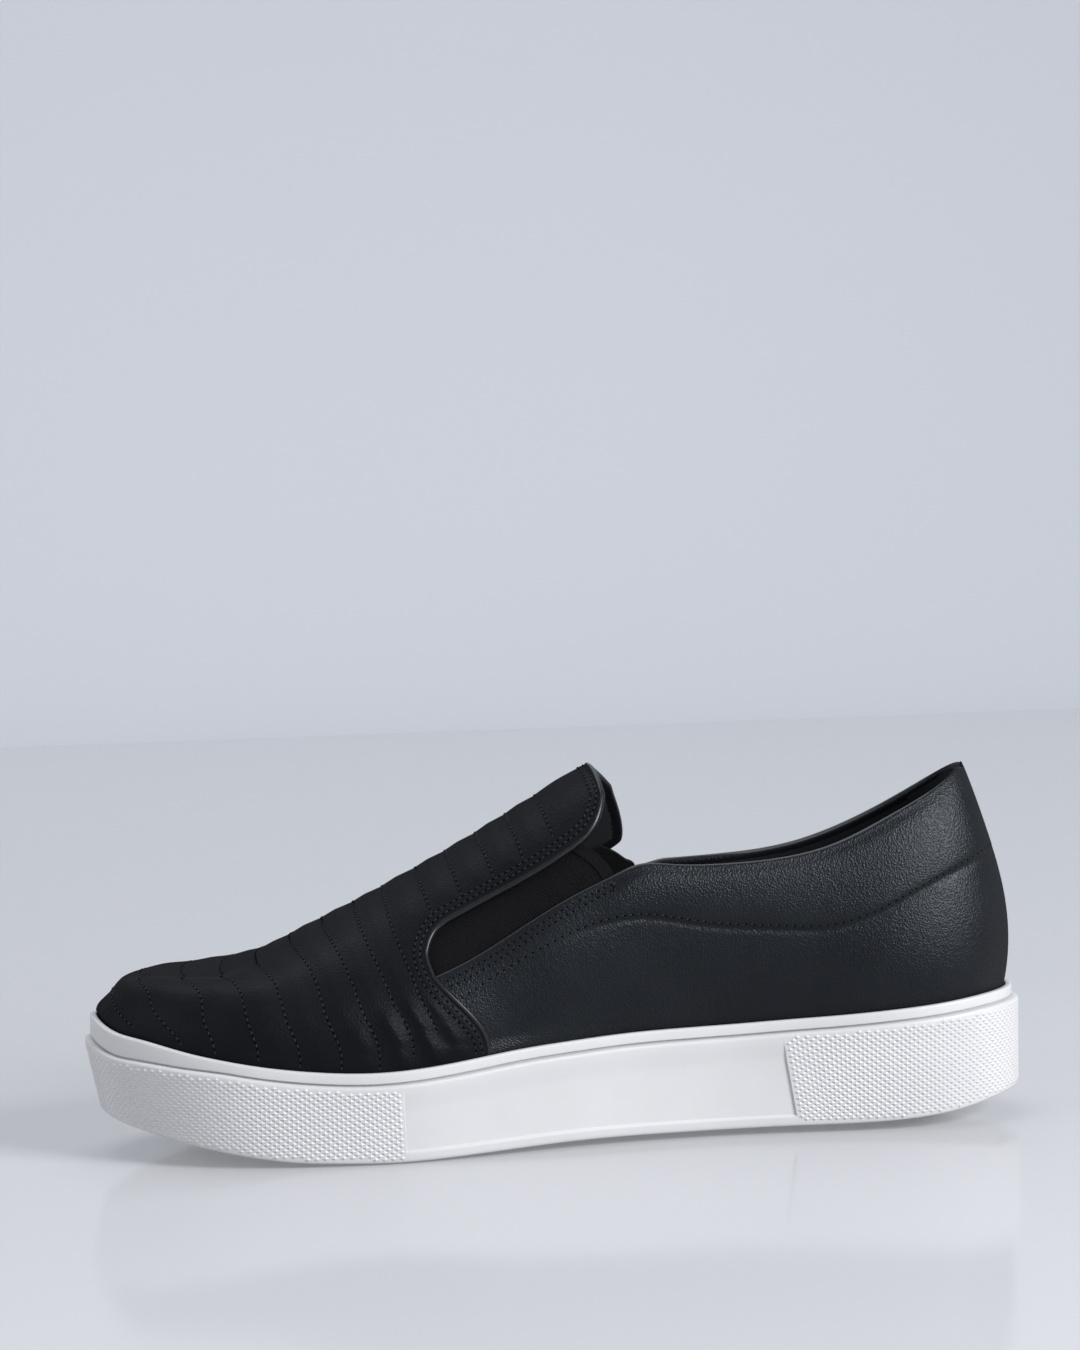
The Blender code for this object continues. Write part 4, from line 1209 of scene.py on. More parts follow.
def vamp_boundary(side, levels=60, turns=260):
    """Edge of the vamp from the sole up to the crest, as (section, place)."""
    up = np.linspace(0.0, 1.0, levels)
    slot = np.linspace(SLOT_END_ROW, TAB_ROW, turns)
    opening = slot_share(side, slot)
    back = np.linspace(1.0 + opening[-1], 2.0, levels)
    rows = np.concatenate([np.full(levels, SLOT_END_ROW), slot[1:], np.full(levels - 1, TAB_ROW)])
    places = np.concatenate([up, 1.0 + opening[1:], back[1:]])
    return rows, places


def both_sides(sides, make):
    """Path over both sides: the inner one up to the crest, the outer down."""
    inner, outer = (make(side) for side in sides)
    return np.concatenate([inner, outer[::-1][1:]])


def boundary_path(side):
    """Edge of the vamp as a path."""
    rows, places = vamp_boundary(side)
    return surface(side, rows, places)


def shifted_boundary(side, distance):
    """Path that runs beside the vamp's edge, at a distance inside it."""
    rows, places = vamp_boundary(side)
    points = surface(side, rows, places)
    normals = surface_normal(side, rows, places)
    along = np.gradient(points, axis=0)
    along /= np.linalg.norm(along, axis=1)[:, None]
    if side.side > 0:
        along = -along
    inward = np.cross(normals, along)
    inward /= np.linalg.norm(inward, axis=1)[:, None]
    return points + inward * distance


def quilting_paths(side):
    """Rows of the quilting on one side, from the crest down."""
    paths = []
    for crest, slant, end in QUILTING:
        places = np.linspace(2.0, end, 90)
        rows = crest + slant * (2.0 - places)
        paths.append(surface(side, rows, places))
    rows = np.array(TOE_ROW)
    read = make_spline(rows[:, 1], rows[:, 0])
    places = np.linspace(rows[-1, 1], rows[0, 1], 60)
    sections = np.clip(read(places)[:, 0], rows[0, 0], rows[-1, 0])
    paths.append(surface(side, sections, places))
    return paths


def vamp_relief(side, points, paths, border):
    """Height of the quilting and the wrinkles at points of the vamp."""
    nearest = np.full(len(points), np.inf)
    for path in paths:
        nearest = np.minimum(nearest, path_distance(points, path))
    nearest = np.minimum(nearest, path_distance(points, border))
    puff = PUFF * (1.0 - bell(nearest, PUFF_REACH))
    crease = CREASE * bell(nearest, CREASE_WIDTH)
    wrinkles = np.zeros(len(points))
    for first_row, first, last_row, last, width, height in WRINKLES:
        share = np.linspace(0.0, 1.0, 24)
        rows = first_row + (last_row - first_row) * share
        path = surface(side, rows, first + (last - first) * share)
        wrinkles += height * bell(path_distance(points, path), width)
    calm = 1.0 - bell(nearest, WRINKLE_REACH)
    return puff + wrinkles * calm, crease


def welded(points, faces, face_materials, distance=2e-6):
    """Mesh data with points merged where they meet and dead faces dropped."""
    keys = np.round(points / distance).astype(np.int64)
    _, first, inverse = np.unique(keys, axis=0, return_index=True, return_inverse=True)
    inverse = inverse.reshape(-1)
    kept, kept_materials = [], []
    for face, finish in zip(faces, face_materials):
        corners = []
        for corner in face:
            number = int(inverse[corner])
            if number not in corners:
                corners.append(number)
        if len(corners) > 2:
            kept.append(corners)
            kept_materials.append(finish)
    return points[first], kept, kept_materials


class Patchwork:
    """Gathers grids of points into one mesh."""

    def __init__(self):
        self.points = []
        self.faces = []
        self.finishes = []
        self.count = 0

    def add(self, grid, flip, finish=0):
        """Grid of level by column points; finish may be a grid of numbers."""
        levels, columns = grid.shape[:2]
        self.points.append(grid.reshape(-1, 3))
        numbers = np.arange(levels * columns).reshape(levels, columns) + self.count
        a, b = numbers[:-1, :-1], numbers[:-1, 1:]
        c, d = numbers[1:, 1:], numbers[1:, :-1]
        quads = np.stack([a, b, c, d] if not flip else [a, d, c, b], axis=-1).reshape(-1, 4)
        finish = np.broadcast_to(finish, (levels - 1, columns - 1)).reshape(-1)
        self.faces.extend(quads.tolist())
        self.finishes.extend(finish.tolist())
        self.count += levels * columns

    def finish(self, name, materials, smooth_angle=None):
        """One object from all grids, merged where they meet."""
        points, faces, finishes = welded(np.concatenate(self.points), self.faces, self.finishes)
        return mesh_object(name, points, faces, materials, finishes, smooth_angle)


def rim_levels(length):
    """Shares of a length that are close together near its start."""
    turn = np.linspace(0.0, math.pi / 2.0, EDGE_LEVELS + 1)[:-1]
    return (1.0 - np.cos(turn)) * length


def wall_sheet(side, points, normals, outer, inner, wall, gap):
    """Both faces of a wall, at heights over the surface, and its edge's gap."""
    shape = points.shape
    flat = points.reshape(-1, 3)
    direction = normals.reshape(-1, 3)
    drop = edge_drop(gap, wall / 2.0)
    faces = [(flat + direction * height[:, None]).reshape(shape)
             for height in (outer - drop, inner + drop)]
    return side, *faces, gap.reshape(shape[:2])


def add_wall(work, side, outer, inner, gap):
    """Leather outside, lining inside, and the folded edge between them."""
    shiny = gap[:-1, :-1] < FOLD_SHINE
    back = np.where(gap[:-1, :-1] < FOLD_BACK, 0, 1)
    work.add(outer, side.side < 0, np.where(shiny, 2, 0))
    work.add(inner, side.side > 0, np.where(shiny, 2, back))


def build_vamp(sides, leather, lining, folded):
    """Vamp with its tab: quilted face, rounded edge and lined back."""
    boundary = both_sides(sides, boundary_path)
    border = both_sides(sides, lambda side: shifted_boundary(side, BORDER_STITCH))
    edge_rows = both_sides(sides, lambda side: shifted_boundary(side, EDGE_STITCH))
    fold_line = both_sides(sides, lambda side: shifted_boundary(side, FOLD_LINE))
    rows = even_rows(sides[0], TAB_ROW, TOE_END_ROW, COLUMN_PLACE, COLUMN_STEP,
                     (TAB_ROW, SLOT_END_ROW))
    rows[np.abs(rows - SLOT_END_ROW).argmin()] = SLOT_END_ROW
    front = rows[rows >= SLOT_END_ROW]
    near = rim_levels(VAMP_WALL / 2.0) / OVER_EDGE
    near_low = 1.0 - rim_levels(VAMP_WALL / 2.0)[::-1] / UNDER_EDGE
    high = np.concatenate([near, np.linspace(near[-1], 1.0, VAMP_LEVELS_HIGH)[1:]])
    low = np.concatenate([np.linspace(0.0, near_low[0], VAMP_LEVELS_LOW)[:-1], near_low])
    grids = []
    for side in sides:
        slot = slot_share(side, rows)
        places = [1.0 + slot + (1.0 - slot) * share for share in high]
        grids.append([side, rows, np.array(places), *face_grid(side, rows, places)])
        places = np.repeat(low[:, None], len(front), axis=1)
        grids.append([side, front, places, *face_grid(side, front, low)])
    quilting = {side.side: quilting_paths(side) for side in sides}
    sheets = []
    for side, columns, places, points, normals in grids:
        flat = points.reshape(-1, 3)
        place = places.reshape(-1)
        row = np.broadcast_to(columns, places.shape).reshape(-1)
        gap = path_distance(flat, boundary)
        paths = quilting[side.side] + quilting[-side.side][-1:]
        puff, crease = vamp_relief(side, flat, paths, border)
        inside = smooth(*BORDER_FADE, gap)
        held = smooth(*VAMP_HELD, place)
        row_line = ROW_DEPTH * bell(path_distance(flat, edge_rows), ROW_WIDTH)
        fold = FOLD_DEPTH * bell(path_distance(flat, fold_line), FOLD_WIDTH)
        lift = (puff * inside - crease - row_line - fold) * held
        thin = (1.0 - smooth(*VAMP_THIN_END, row)) * (1.0 - smooth(*VAMP_THIN_TOP, place))
        wall = VAMP_WALL - WALL_EASE - (VAMP_WALL - VAMP_THIN_WALL) * thin
        sheets.append(wall_sheet(side, points, normals, lift, -wall, wall, gap))
    join_halves(sheets, 1)
    join_halves(sheets, 2)
    work = Patchwork()
    for number, (side, outer, inner, gap) in enumerate(sheets):
        add_wall(work, side, outer, inner, gap)
        if number % 2:
            add_tuck(work, outer[0], inner[0], side.side)
    return work.finish("vamp", [leather, lining, folded])


def join_halves(sheets, item):
    """Makes both sides agree at the crest and at the toe."""
    for first, second in ((0, 2), (1, 3)):
        left, right = sheets[first][item], sheets[second][item]
        middle = (left[:, -1] + right[:, -1]) / 2.0
        left[:, -1] = middle
        right[:, -1] = middle
        if first == 0:
            middle = (left[-1] + right[-1]) / 2.0
            left[-1] = middle
            right[-1] = middle
    for high, low in ((0, 1), (2, 3)):
        top = sheets[low][item][-1]
        base = sheets[high][item][0]
        start = base.shape[0] - top.shape[0]
        base[start:] = top


def add_tuck(work, outer, inner, side):
    """Lower edge of the upper, down behind the cup's rim, and its foot."""
    drop = np.array([0.0, 0.0, TUCK])
    grid = np.array([inner - drop, outer - drop, outer - drop * 0.4, outer])
    work.add(grid, side < 0)
    work.add(np.array([inner, inner - drop * 0.4, inner - drop]), side < 0)


def collar_path(side):
    """Row of stitching under the collar's padding."""
    rows = np.linspace(COLLAR_STITCH[-1][0], COLLAR_ROW_END, 500)
    return surface(side, rows, read_line(COLLAR_STITCH)(rows)[:, 0])


def build_quarters(sides, leather, lining, folded):
    """Both quarters with the padded collar, joined at the back of the heel."""
    levels = np.concatenate([
        np.linspace(0.0, QUARTER_RIM_START, QUARTER_LEVELS)[:-1],
        1.0 - rim_levels(QUARTER_RIM)[::-1] / QUARTER_REACH,
    ])
    read_collar = read_line(COLLAR_STITCH)
    sheets = []
    for side in sides:
        rows = even_rows(side, 0.0, QUARTER_END_ROW, 0.9, COLUMN_STEP * 1.5)
        points, normals = face_grid(side, rows, levels)
        flat = points.reshape(-1, 3)
        row = np.broadcast_to(rows, points.shape[:2]).reshape(-1)
        place = np.repeat(levels, len(rows))
        gap = path_distance(flat, surface(side, np.linspace(0.0, QUARTER_END_ROW, 700), np.ones(700)))
        sink = (VAMP_STEP + VAMP_SEAT) * smooth(*SINK_START, row) * smooth(*SINK_RISE, place)
        line = path_distance(flat, collar_path(side))
        over = place > read_collar(np.clip(row, 0.0, COLLAR_STITCH[-1][0]))[:, 0]
        share = line / np.maximum(line + np.maximum(gap - COLLAR_BEAD, 0.0), 1e-5)
        pad = COLLAR_PUFF * np.sqrt(np.clip(4.0 * share * (1.0 - share), 0.0, 1.0)) * over
        pad *= 1.0 - smooth(*COLLAR_PAD_END, row)
        crease = COLLAR_CREASE * bell(line, COLLAR_CREASE_WIDTH)
        crease *= 1.0 - COLLAR_CREASE_LOSS * smooth(*PADDING_END, row)
        seam_line = surface(side, np.zeros(120), np.linspace(0.0, 1.0, 120))
        seam = BACK_SEAM_DEPTH * bell(path_distance(flat, seam_line), BACK_SEAM_WIDTH)
        held = smooth(*QUARTER_HELD, place)
        collar = smooth(*PADDING_RISE, place) * (1.0 - smooth(*PADDING_END, row))
        wall = QUARTER_WALL - WALL_EASE + (COLLAR_WALL - QUARTER_WALL) * collar
        swelling = (pad - crease) * smooth(*COLLAR_PAD_START, row) - seam
        flat[:, 2] += COLLAR_LIFT * smooth(*PADDING_RISE, place) * (1.0 - smooth(*COLLAR_LIFT_END, row))
        sheets.append(wall_sheet(side, points, normals, swelling * held - sink, -wall - sink, wall, gap))
    for item in (1, 2):
        middle = (sheets[0][item][:, 0] + sheets[1][item][:, 0]) / 2.0
        sheets[0][item][:, 0] = middle
        sheets[1][item][:, 0] = middle
    work = Patchwork()
    for side, outer, inner, gap in sheets:
        add_wall(work, side, outer, inner, gap)
        add_tuck(work, outer[0], inner[0], side.side)
        work.add(np.array([outer[:, -1], inner[:, -1]]), side.side < 0)
    return work.finish("quarters", [leather, lining, folded])


def gore_reach(side, rows):
    """Places of the gore's lower and upper edge, under its seams."""
    foot, _ = side.foot(rows)
    edge = side.edge(rows)
    crest = side.top(rows)
    below = GORE_SEAM / np.linalg.norm(edge - foot, axis=1)
    above = GORE_SEAM / np.linalg.norm(crest - edge, axis=1)
    return 1.0 - below, 1.0 + slot_share(side, rows) + above


def build_gore(side, elastic):
    """Elastic gore: fine ribs across it and a raised hem at its end."""
    name = "elastic_inner" if side.side < 0 else "elastic_outer"
    whole = np.linspace(GORE_FIRST_ROW, GORE_LAST_ROW, 400)
    line = surface(side, whole, np.full(400, GORE_MIDDLE))
    length = np.linalg.norm(np.diff(line, axis=0), axis=1).sum()
    columns = int(round(length / (RIB_PITCH / 4.0))) + 1
    points, normals, starts = [], [], []
    for share in np.linspace(0.0, 1.0, GORE_LEVELS):
        rows = np.linspace(GORE_FIRST_ROW + GORE_SLANT * share, GORE_LAST_ROW, columns)
        low, high = gore_reach(side, rows)
        place = low + (high - low) * share
        points.append(surface(side, rows, place))
        normals.append(surface_normal(side, rows, place))
        steps = np.linalg.norm(np.diff(points[-1], axis=0), axis=1)
        starts.append(np.concatenate([[0.0], np.cumsum(steps)]))
    points, normals, reach = np.array(points), np.array(normals), np.array(starts)
    rib = RIB_HEIGHT * (0.5 - 0.5 * np.cos(2.0 * math.pi * reach / RIB_PITCH))
    rib *= np.where(reach < HEM_WIDTH, HEM_RIB_SHARE, 1.0)
    hem = HEM_HEIGHT * (1.0 - smooth(HEM_WIDTH, HEM_WIDTH + RIB_PITCH, reach))
    outer = points - normals * (VAMP_WALL + GAP - hem - rib)[:, :, None]
    inner = points - normals * (VAMP_WALL + GAP + GORE_WALL)
    work = Patchwork()
    work.add(outer, side.side < 0)
    work.add(inner, side.side > 0)
    for grid, flip in (
        (np.array([inner[0], outer[0]]), side.side < 0),
        (np.array([outer[-1], inner[-1]]), side.side < 0),
        (np.array([outer[:, 0], inner[:, 0]]), side.side > 0),
        (np.array([outer[:, -1], inner[:, -1]]), side.side < 0),
    ):
        work.add(grid, flip)
    return work.finish(name, [elastic], ELASTIC_SHARP_ANGLE)


def wall_profile(along):
    """Corners of the cup's section at places along the foot, top to bottom."""
    growth = smooth(BAND_GROWTH_START, BAND_GROWTH_END, along)
    band = BAND_HEIGHT + (TOE_BAND_HEIGHT - BAND_HEIGHT) * growth
    top = top_height(along)
    groove = top - band
    shoulder = groove - GROOVE_HEIGHT
    edge = edge_height(along)
    return top, groove, shoulder, edge


def wall_inset_at(along, height):
    """How far in the cup's wall stands at a height."""
    _, _, shoulder, edge = wall_profile(along)
    share = np.clip((shoulder - height) / (shoulder - edge), 0.0, 1.0)
    return wall_taper(along) * share


def lean_shift(arcs, along, height):
    """How far round the outline the wall's columns lean at a height."""
    _, _, shoulder, edge = wall_profile(along)
    share = np.clip((shoulder - height) / (shoulder - edge), 0.0, 1.0) - 0.5
    lean = np.zeros(along.shape)
    for end, size in ((REAR_BUMPER_END, REAR_LEAN), (FRONT_BUMPER_END, FRONT_LEAN)):
        lean += size * bell(along - end, LEAN_REACH)
    side = np.where(arcs % OUTLINE_CURVE.total < OUTLINE_CURVE.tip, 1.0, -1.0)
    return -side * share * lean


def rounded_rows(corners):
    """Profile rows with each corner replaced by a short round."""
    rows = []
    last = len(corners) - 1
    for number, (inset, height, radius) in enumerate(corners):
        if number in (0, last) or radius == 0.0:
            rows.append((inset, height))
            continue
        before, after = corners[number - 1], corners[number + 1]
        ends = []
        for near in (before, after):
            run = np.stack([near[0] - inset, near[1] - height])
            length = np.maximum(np.linalg.norm(run, axis=0), 1e-9)
            reach = np.minimum(radius, 0.45 * length)
            ends.append((inset + run[0] / length * reach, height + run[1] / length * reach))
        for share in (0.0, 0.33, 0.67, 1.0):
            rest = 1.0 - share
            rows.append(tuple(
                rest * rest * ends[0][axis] + 2.0 * rest * share * (inset, height)[axis]
                + share * share * ends[1][axis] for axis in (0, 1)))
    return rows


def fine_sole_arcs():
    """Distances round the outline, close together, with the bumper steps."""
    stops = [0.0]
    for end in (REAR_BUMPER_END, FRONT_BUMPER_END):
        middle = OUTLINE_CURVE.arc(end, -1)
        stops += [middle + share * STEP_RUN / 2.0 for share in (-1.0, -0.3, 0.3, 1.0)]
    stops.append(OUTLINE_CURVE.tip)
    arcs = []
    for start, end in zip(stops, stops[1:]):
        count = max(1, int(round((end - start) / SOLE_STEP)))
        arcs.append(np.linspace(start, end, count + 1)[:-1])
    arcs.append([OUTLINE_CURVE.tip])
    return pair_arcs(OUTLINE_CURVE.read(np.concatenate(arcs))[:, 0])


def build_sole(rubber):
    """Cup sole with rounded band, thin groove, shoulder, panel and edge."""
    arcs = fine_sole_arcs()
    along = OUTLINE_CURVE.read(arcs)[:, 0]
    half = STEP_STEEP * STEP_RUN / 2.0
    rear = smooth(REAR_BUMPER_END - half, REAR_BUMPER_END + half, along)
    front = smooth(FRONT_BUMPER_END - half, FRONT_BUMPER_END + half, along)
    recess = PANEL_RECESS * rear * (1.0 - front)
    top, groove, shoulder, edge = wall_profile(along)
    zero = 0.0 * along
    rim = BAND_INSET + RIM_WALL + zero
    panel_top = shoulder - SHOULDER_HEIGHT
    panel_start = panel_top - PANEL_FADE
    panel_foot = edge + EDGE_ROUND + BORDER_HEIGHT
    border = panel_foot - STEP_RUN
    ceiling = tread_top(along) + GAP
    taper = wall_taper(along)
    cut = BAND_INSET + GROOVE_SEEN * GROOVE_DEPTH + zero
    slope = GROOVE_SLOPE * GROOVE_HEIGHT
    corners = [
        (rim, top - CUP_DEPTH, 0.0),
        (rim, top, RIM_EDGE),
        (BAND_INSET + zero, top, RIM_EDGE * 1.6),
        (BAND_INSET + zero, groove, BAND_FOOT_ROUND),
        (cut, groove - slope, GROOVE_ROUND),
        (cut, shoulder + slope, GROOVE_ROUND),
        (zero, shoulder, SHOULDER_ROUND),
        (wall_inset_at(along, panel_top), panel_top, PANEL_ROUND),
        (wall_inset_at(along, panel_start) + recess, panel_start, PANEL_ROUND),
        (wall_inset_at(along, panel_foot) + recess, panel_foot, STEP_ROUND),
        (wall_inset_at(along, border), border, STEP_ROUND),
        (taper, edge, EDGE_ROUND),
        (taper + EDGE_WALL, edge, EDGE_INNER_ROUND),
        (taper + EDGE_WALL, ceiling, 0.0),
    ]
    loops = []
    for inset, height in rounded_rows(corners):
        flat, _ = OUTLINE_CURVE.points(arcs + lean_shift(arcs, along, height), inset)
        loops.append(to_frame(flat[:, 0], flat[:, 1], height))
    return skinned("cup_sole", loops, rubber, SOLE_SHARP_ANGLE)


def build_insole(cloth):
    """Footbed with a soft raised rim, rounded at its edge."""
    arcs = fine_sole_arcs()
    along = OUTLINE_CURVE.read(arcs)[:, 0]
    inset = FEATHER_INSET + VAMP_WALL + 2.0 * GAP
    top = top_height(along) - CUP_DEPTH + GAP + INSOLE_THICKNESS
    loops = []
    for inwards, under in INSOLE_LOOPS:
        flat, _ = OUTLINE_CURVE.points(arcs, inset + inwards + 0.0 * along)
        loops.append(to_frame(flat[:, 0], flat[:, 1], top - under))
    return skinned("footbed", loops, cloth, INSOLE_SHARP_ANGLE)


def point_cloud(name, points, outward, across=None, edges=()):
    """Mesh of points or paths that carries directions for the node trees."""
    data = bpy.data.meshes.new(name)
    data.from_pydata([tuple(point) for point in points], edges, [])
    for label, vectors in (("outward", outward), ("across", across)):
        if vectors is not None:
            layer = data.attributes.new(label, "FLOAT_VECTOR", "POINT")
            layer.data.foreach_set("vector", np.asarray(vectors, np.float32).reshape(-1))
    return add_object(name, data)


def new_tree(name, inputs):
    """Geometry tree with its group input and output and named sizes."""
    tree = bpy.data.node_groups.new(name, "GeometryNodeTree")
    tree.interface.new_socket("Geometry", in_out="INPUT", socket_type="NodeSocketGeometry")
    for label, kind in inputs:
        tree.interface.new_socket(label, in_out="INPUT", socket_type=kind)
    tree.interface.new_socket("Geometry", in_out="OUTPUT", socket_type="NodeSocketGeometry")
    source = tree.nodes.new("NodeGroupInput")
    target = tree.nodes.new("NodeGroupOutput")
    return tree, source, target


def named_vector(tree, label):
    """Reads a direction that the points carry."""
    node = tree.nodes.new("GeometryNodeInputNamedAttribute")
    node.data_type = "FLOAT_VECTOR"
    node.inputs["Name"].default_value = label
    return node.outputs["Attribute"]


def aligned(tree, main_axis, main_vector, second_axis, second_vector):
    """Rotation with one axis along a direction and another turned to a second."""
    first = tree.nodes.new("FunctionNodeAlignRotationToVector")
    first.axis = main_axis
    tree.links.new(main_vector, first.inputs["Vector"])
    second = tree.nodes.new("FunctionNodeAlignRotationToVector")
    second.axis = second_axis
    second.pivot_axis = main_axis
    tree.links.new(first.outputs["Rotation"], second.inputs["Rotation"])
    tree.links.new(second_vector, second.inputs["Vector"])
    return second.outputs["Rotation"]


def stitch_tree():
    """Stitches along paths: a small rounded thread at every pitch."""
    tree, source, target = new_tree("stitch_row", (
        ("Pitch", "NodeSocketFloat"),
        ("Length", "NodeSocketFloat"),
        ("Width", "NodeSocketFloat"),
        ("Material", "NodeSocketMaterial"),
    ))
    link = tree.links.new
    curve = tree.nodes.new("GeometryNodeMeshToCurve")
    link(source.outputs["Geometry"], curve.inputs["Mesh"])
    spaced = tree.nodes.new("GeometryNodeResampleCurve")
    spaced.mode = "LENGTH"
    link(curve.outputs["Curve"], spaced.inputs["Curve"])
    link(source.outputs["Pitch"], spaced.inputs["Length"])
    tangent = tree.nodes.new("GeometryNodeInputTangent").outputs["Tangent"]
    turn = aligned(tree, "X", tangent, "Z", named_vector(tree, "outward"))
    thread = tree.nodes.new("GeometryNodeMeshUVSphere")
    thread.inputs["Segments"].default_value = 8
    thread.inputs["Rings"].default_value = 6
    thread.inputs["Radius"].default_value = 0.5
    sizes = tree.nodes.new("ShaderNodeCombineXYZ")
    link(source.outputs["Length"], sizes.inputs["X"])
    link(source.outputs["Width"], sizes.inputs["Y"])
    link(source.outputs["Width"], sizes.inputs["Z"])
    placed = tree.nodes.new("GeometryNodeInstanceOnPoints")
    link(spaced.outputs["Curve"], placed.inputs["Points"])
    link(thread.outputs["Mesh"], placed.inputs["Instance"])
    link(turn, placed.inputs["Rotation"])
    link(sizes.outputs["Vector"], placed.inputs["Scale"])
    real = tree.nodes.new("GeometryNodeRealizeInstances")
    link(placed.outputs["Instances"], real.inputs["Geometry"])
    finish = tree.nodes.new("GeometryNodeSetMaterial")
    link(real.outputs["Geometry"], finish.inputs["Geometry"])
    link(source.outputs["Material"], finish.inputs["Material"])
    link(finish.outputs["Geometry"], target.inputs["Geometry"])
    return tree


def stud_shape():
    """One small diamond stud with a rounded tip, closed underneath."""
    base = [(0.5, 0.0, 0.0), (0.0, 0.5, 0.0), (-0.5, 0.0, 0.0), (0.0, -0.5, 0.0)]
    points = list(base)
    points += [(0.42 * x, 0.42 * y, 0.72) for x, y, _ in base]
    points.append((0.0, 0.0, 1.0))
    faces = [(3, 2, 1, 0)]
    for i in range(4):
        j = (i + 1) % 4
        faces.append((i, j, 4 + j, 4 + i))
        faces.append((4 + i, 4 + j, 8))
    data = bpy.data.meshes.new("stud")
    data.from_pydata(points, [], faces)
    return bpy.data.objects.new("stud", data)


def stud_tree():
    """Studs on points, turned to the wall and to the row they stand in."""
    tree, source, target = new_tree("stud_field", (
        ("Stud", "NodeSocketObject"),
        ("Width", "NodeSocketFloat"),
        ("Rise", "NodeSocketFloat"),
        ("Height", "NodeSocketFloat"),
        ("Material", "NodeSocketMaterial"),
    ))
    link = tree.links.new
    dots = tree.nodes.new("GeometryNodeMeshToPoints")
    link(source.outputs["Geometry"], dots.inputs["Mesh"])
    turn = aligned(tree, "Z", named_vector(tree, "outward"), "X", named_vector(tree, "across"))
    stud = tree.nodes.new("GeometryNodeObjectInfo")
    link(source.outputs["Stud"], stud.inputs["Object"])
    sizes = tree.nodes.new("ShaderNodeCombineXYZ")
    link(source.outputs["Width"], sizes.inputs["X"])
    link(source.outputs["Rise"], sizes.inputs["Y"])
    link(source.outputs["Height"], sizes.inputs["Z"])
    placed = tree.nodes.new("GeometryNodeInstanceOnPoints")
    link(dots.outputs["Points"], placed.inputs["Points"])
    link(stud.outputs["Geometry"], placed.inputs["Instance"])
    link(turn, placed.inputs["Rotation"])
    link(sizes.outputs["Vector"], placed.inputs["Scale"])
    real = tree.nodes.new("GeometryNodeRealizeInstances")
    link(placed.outputs["Instances"], real.inputs["Geometry"])
    finish = tree.nodes.new("GeometryNodeSetMaterial")
    link(real.outputs["Geometry"], finish.inputs["Geometry"])
    link(source.outputs["Material"], finish.inputs["Material"])
    link(finish.outputs["Geometry"], target.inputs["Geometry"])
    return tree


def grown(name, base, tree, values, smooth_angle=None):
    """Runs a geometry tree on an object and keeps the result as a mesh."""
    modifier = base.modifiers.new(name, "NODES")
    modifier.node_group = tree
    for item in tree.interface.items_tree:
        if item.item_type == "SOCKET" and item.in_out == "INPUT" and item.name in values:
            modifier[item.identifier] = values[item.name]
    bpy.context.view_layer.update()
    seen = base.evaluated_get(bpy.context.evaluated_depsgraph_get())
    data = bpy.data.meshes.new_from_object(seen)
    data.name = name
    base.modifiers.remove(modifier)
    bpy.data.objects.remove(base)
    shade(data, smooth_angle)
    return add_object(name, data)


def surface_search(shape):
    """Nearest place on a finished piece's outer face."""
    data = shape.data
    points = [vert.co.copy() for vert in data.vertices]
    faces = [tuple(face.vertices) for face in data.polygons]
    return BVHTree.FromPolygons(points, faces)


def laid_on(search, path, outward, lift):
    """Path moved onto the finished surface, with its outward directions."""
    placed, directions = [], []
    for point, direction in zip(path, outward):
        guess = Vector(point) + Vector(direction) * 0.0012
        place, normal, _, _ = search.find_nearest(guess)
        placed.append(place + normal * lift)
        directions.append(normal)
    return np.array(placed), np.array(directions)


def outward_guess(points):
    """Rough outward direction of the upper at points."""
    middle = np.stack([points[:, 0], 0.0 * points[:, 0], 0.5 * points[:, 2]], axis=1)
    away = points - middle
    return away / np.linalg.norm(away, axis=1)[:, None]


def build_stitches(name, search, paths, sizes, material, start=0.0):
    """Rows of small rounded pieces laid on a surface, from a start on."""
    pitch, length, width, lift = sizes
    points, outward, edges = [], [], []
    for path in paths:
        line = even_path(np.asarray(path), pitch / 4.0)[int(round(start * 4.0)):]
        line, directions = laid_on(search, line, outward_guess(line), lift)
        first = len(points)
        points.extend(line)
        outward.extend(directions)
        edges.extend((first + i, first + i + 1) for i in range(len(line) - 1))
    base = point_cloud(name + "_paths", points, outward, edges=edges)
    values = {"Pitch": pitch, "Length": length, "Width": width, "Material": material}
    return grown(name, base, stitch_tree(), values)


def build_seam(name, search, paths, thread, hole, pitch=STITCH_PITCH):
    """Rows of stitches with dark caps between them, painted with the shade of the needle's holes."""
    stitch = (pitch, STITCH_LENGTH * pitch / STITCH_PITCH, STITCH_WIDTH, STITCH_LIFT)
    dress(build_stitches(name, search, paths, stitch, thread), "upper_leather")
    dent = (pitch, HOLE_LENGTH, HOLE_WIDTH, HOLE_LIFT)
    dress(build_stitches(name + "_holes", search, paths, dent, hole, 0.5), "upper_leather")


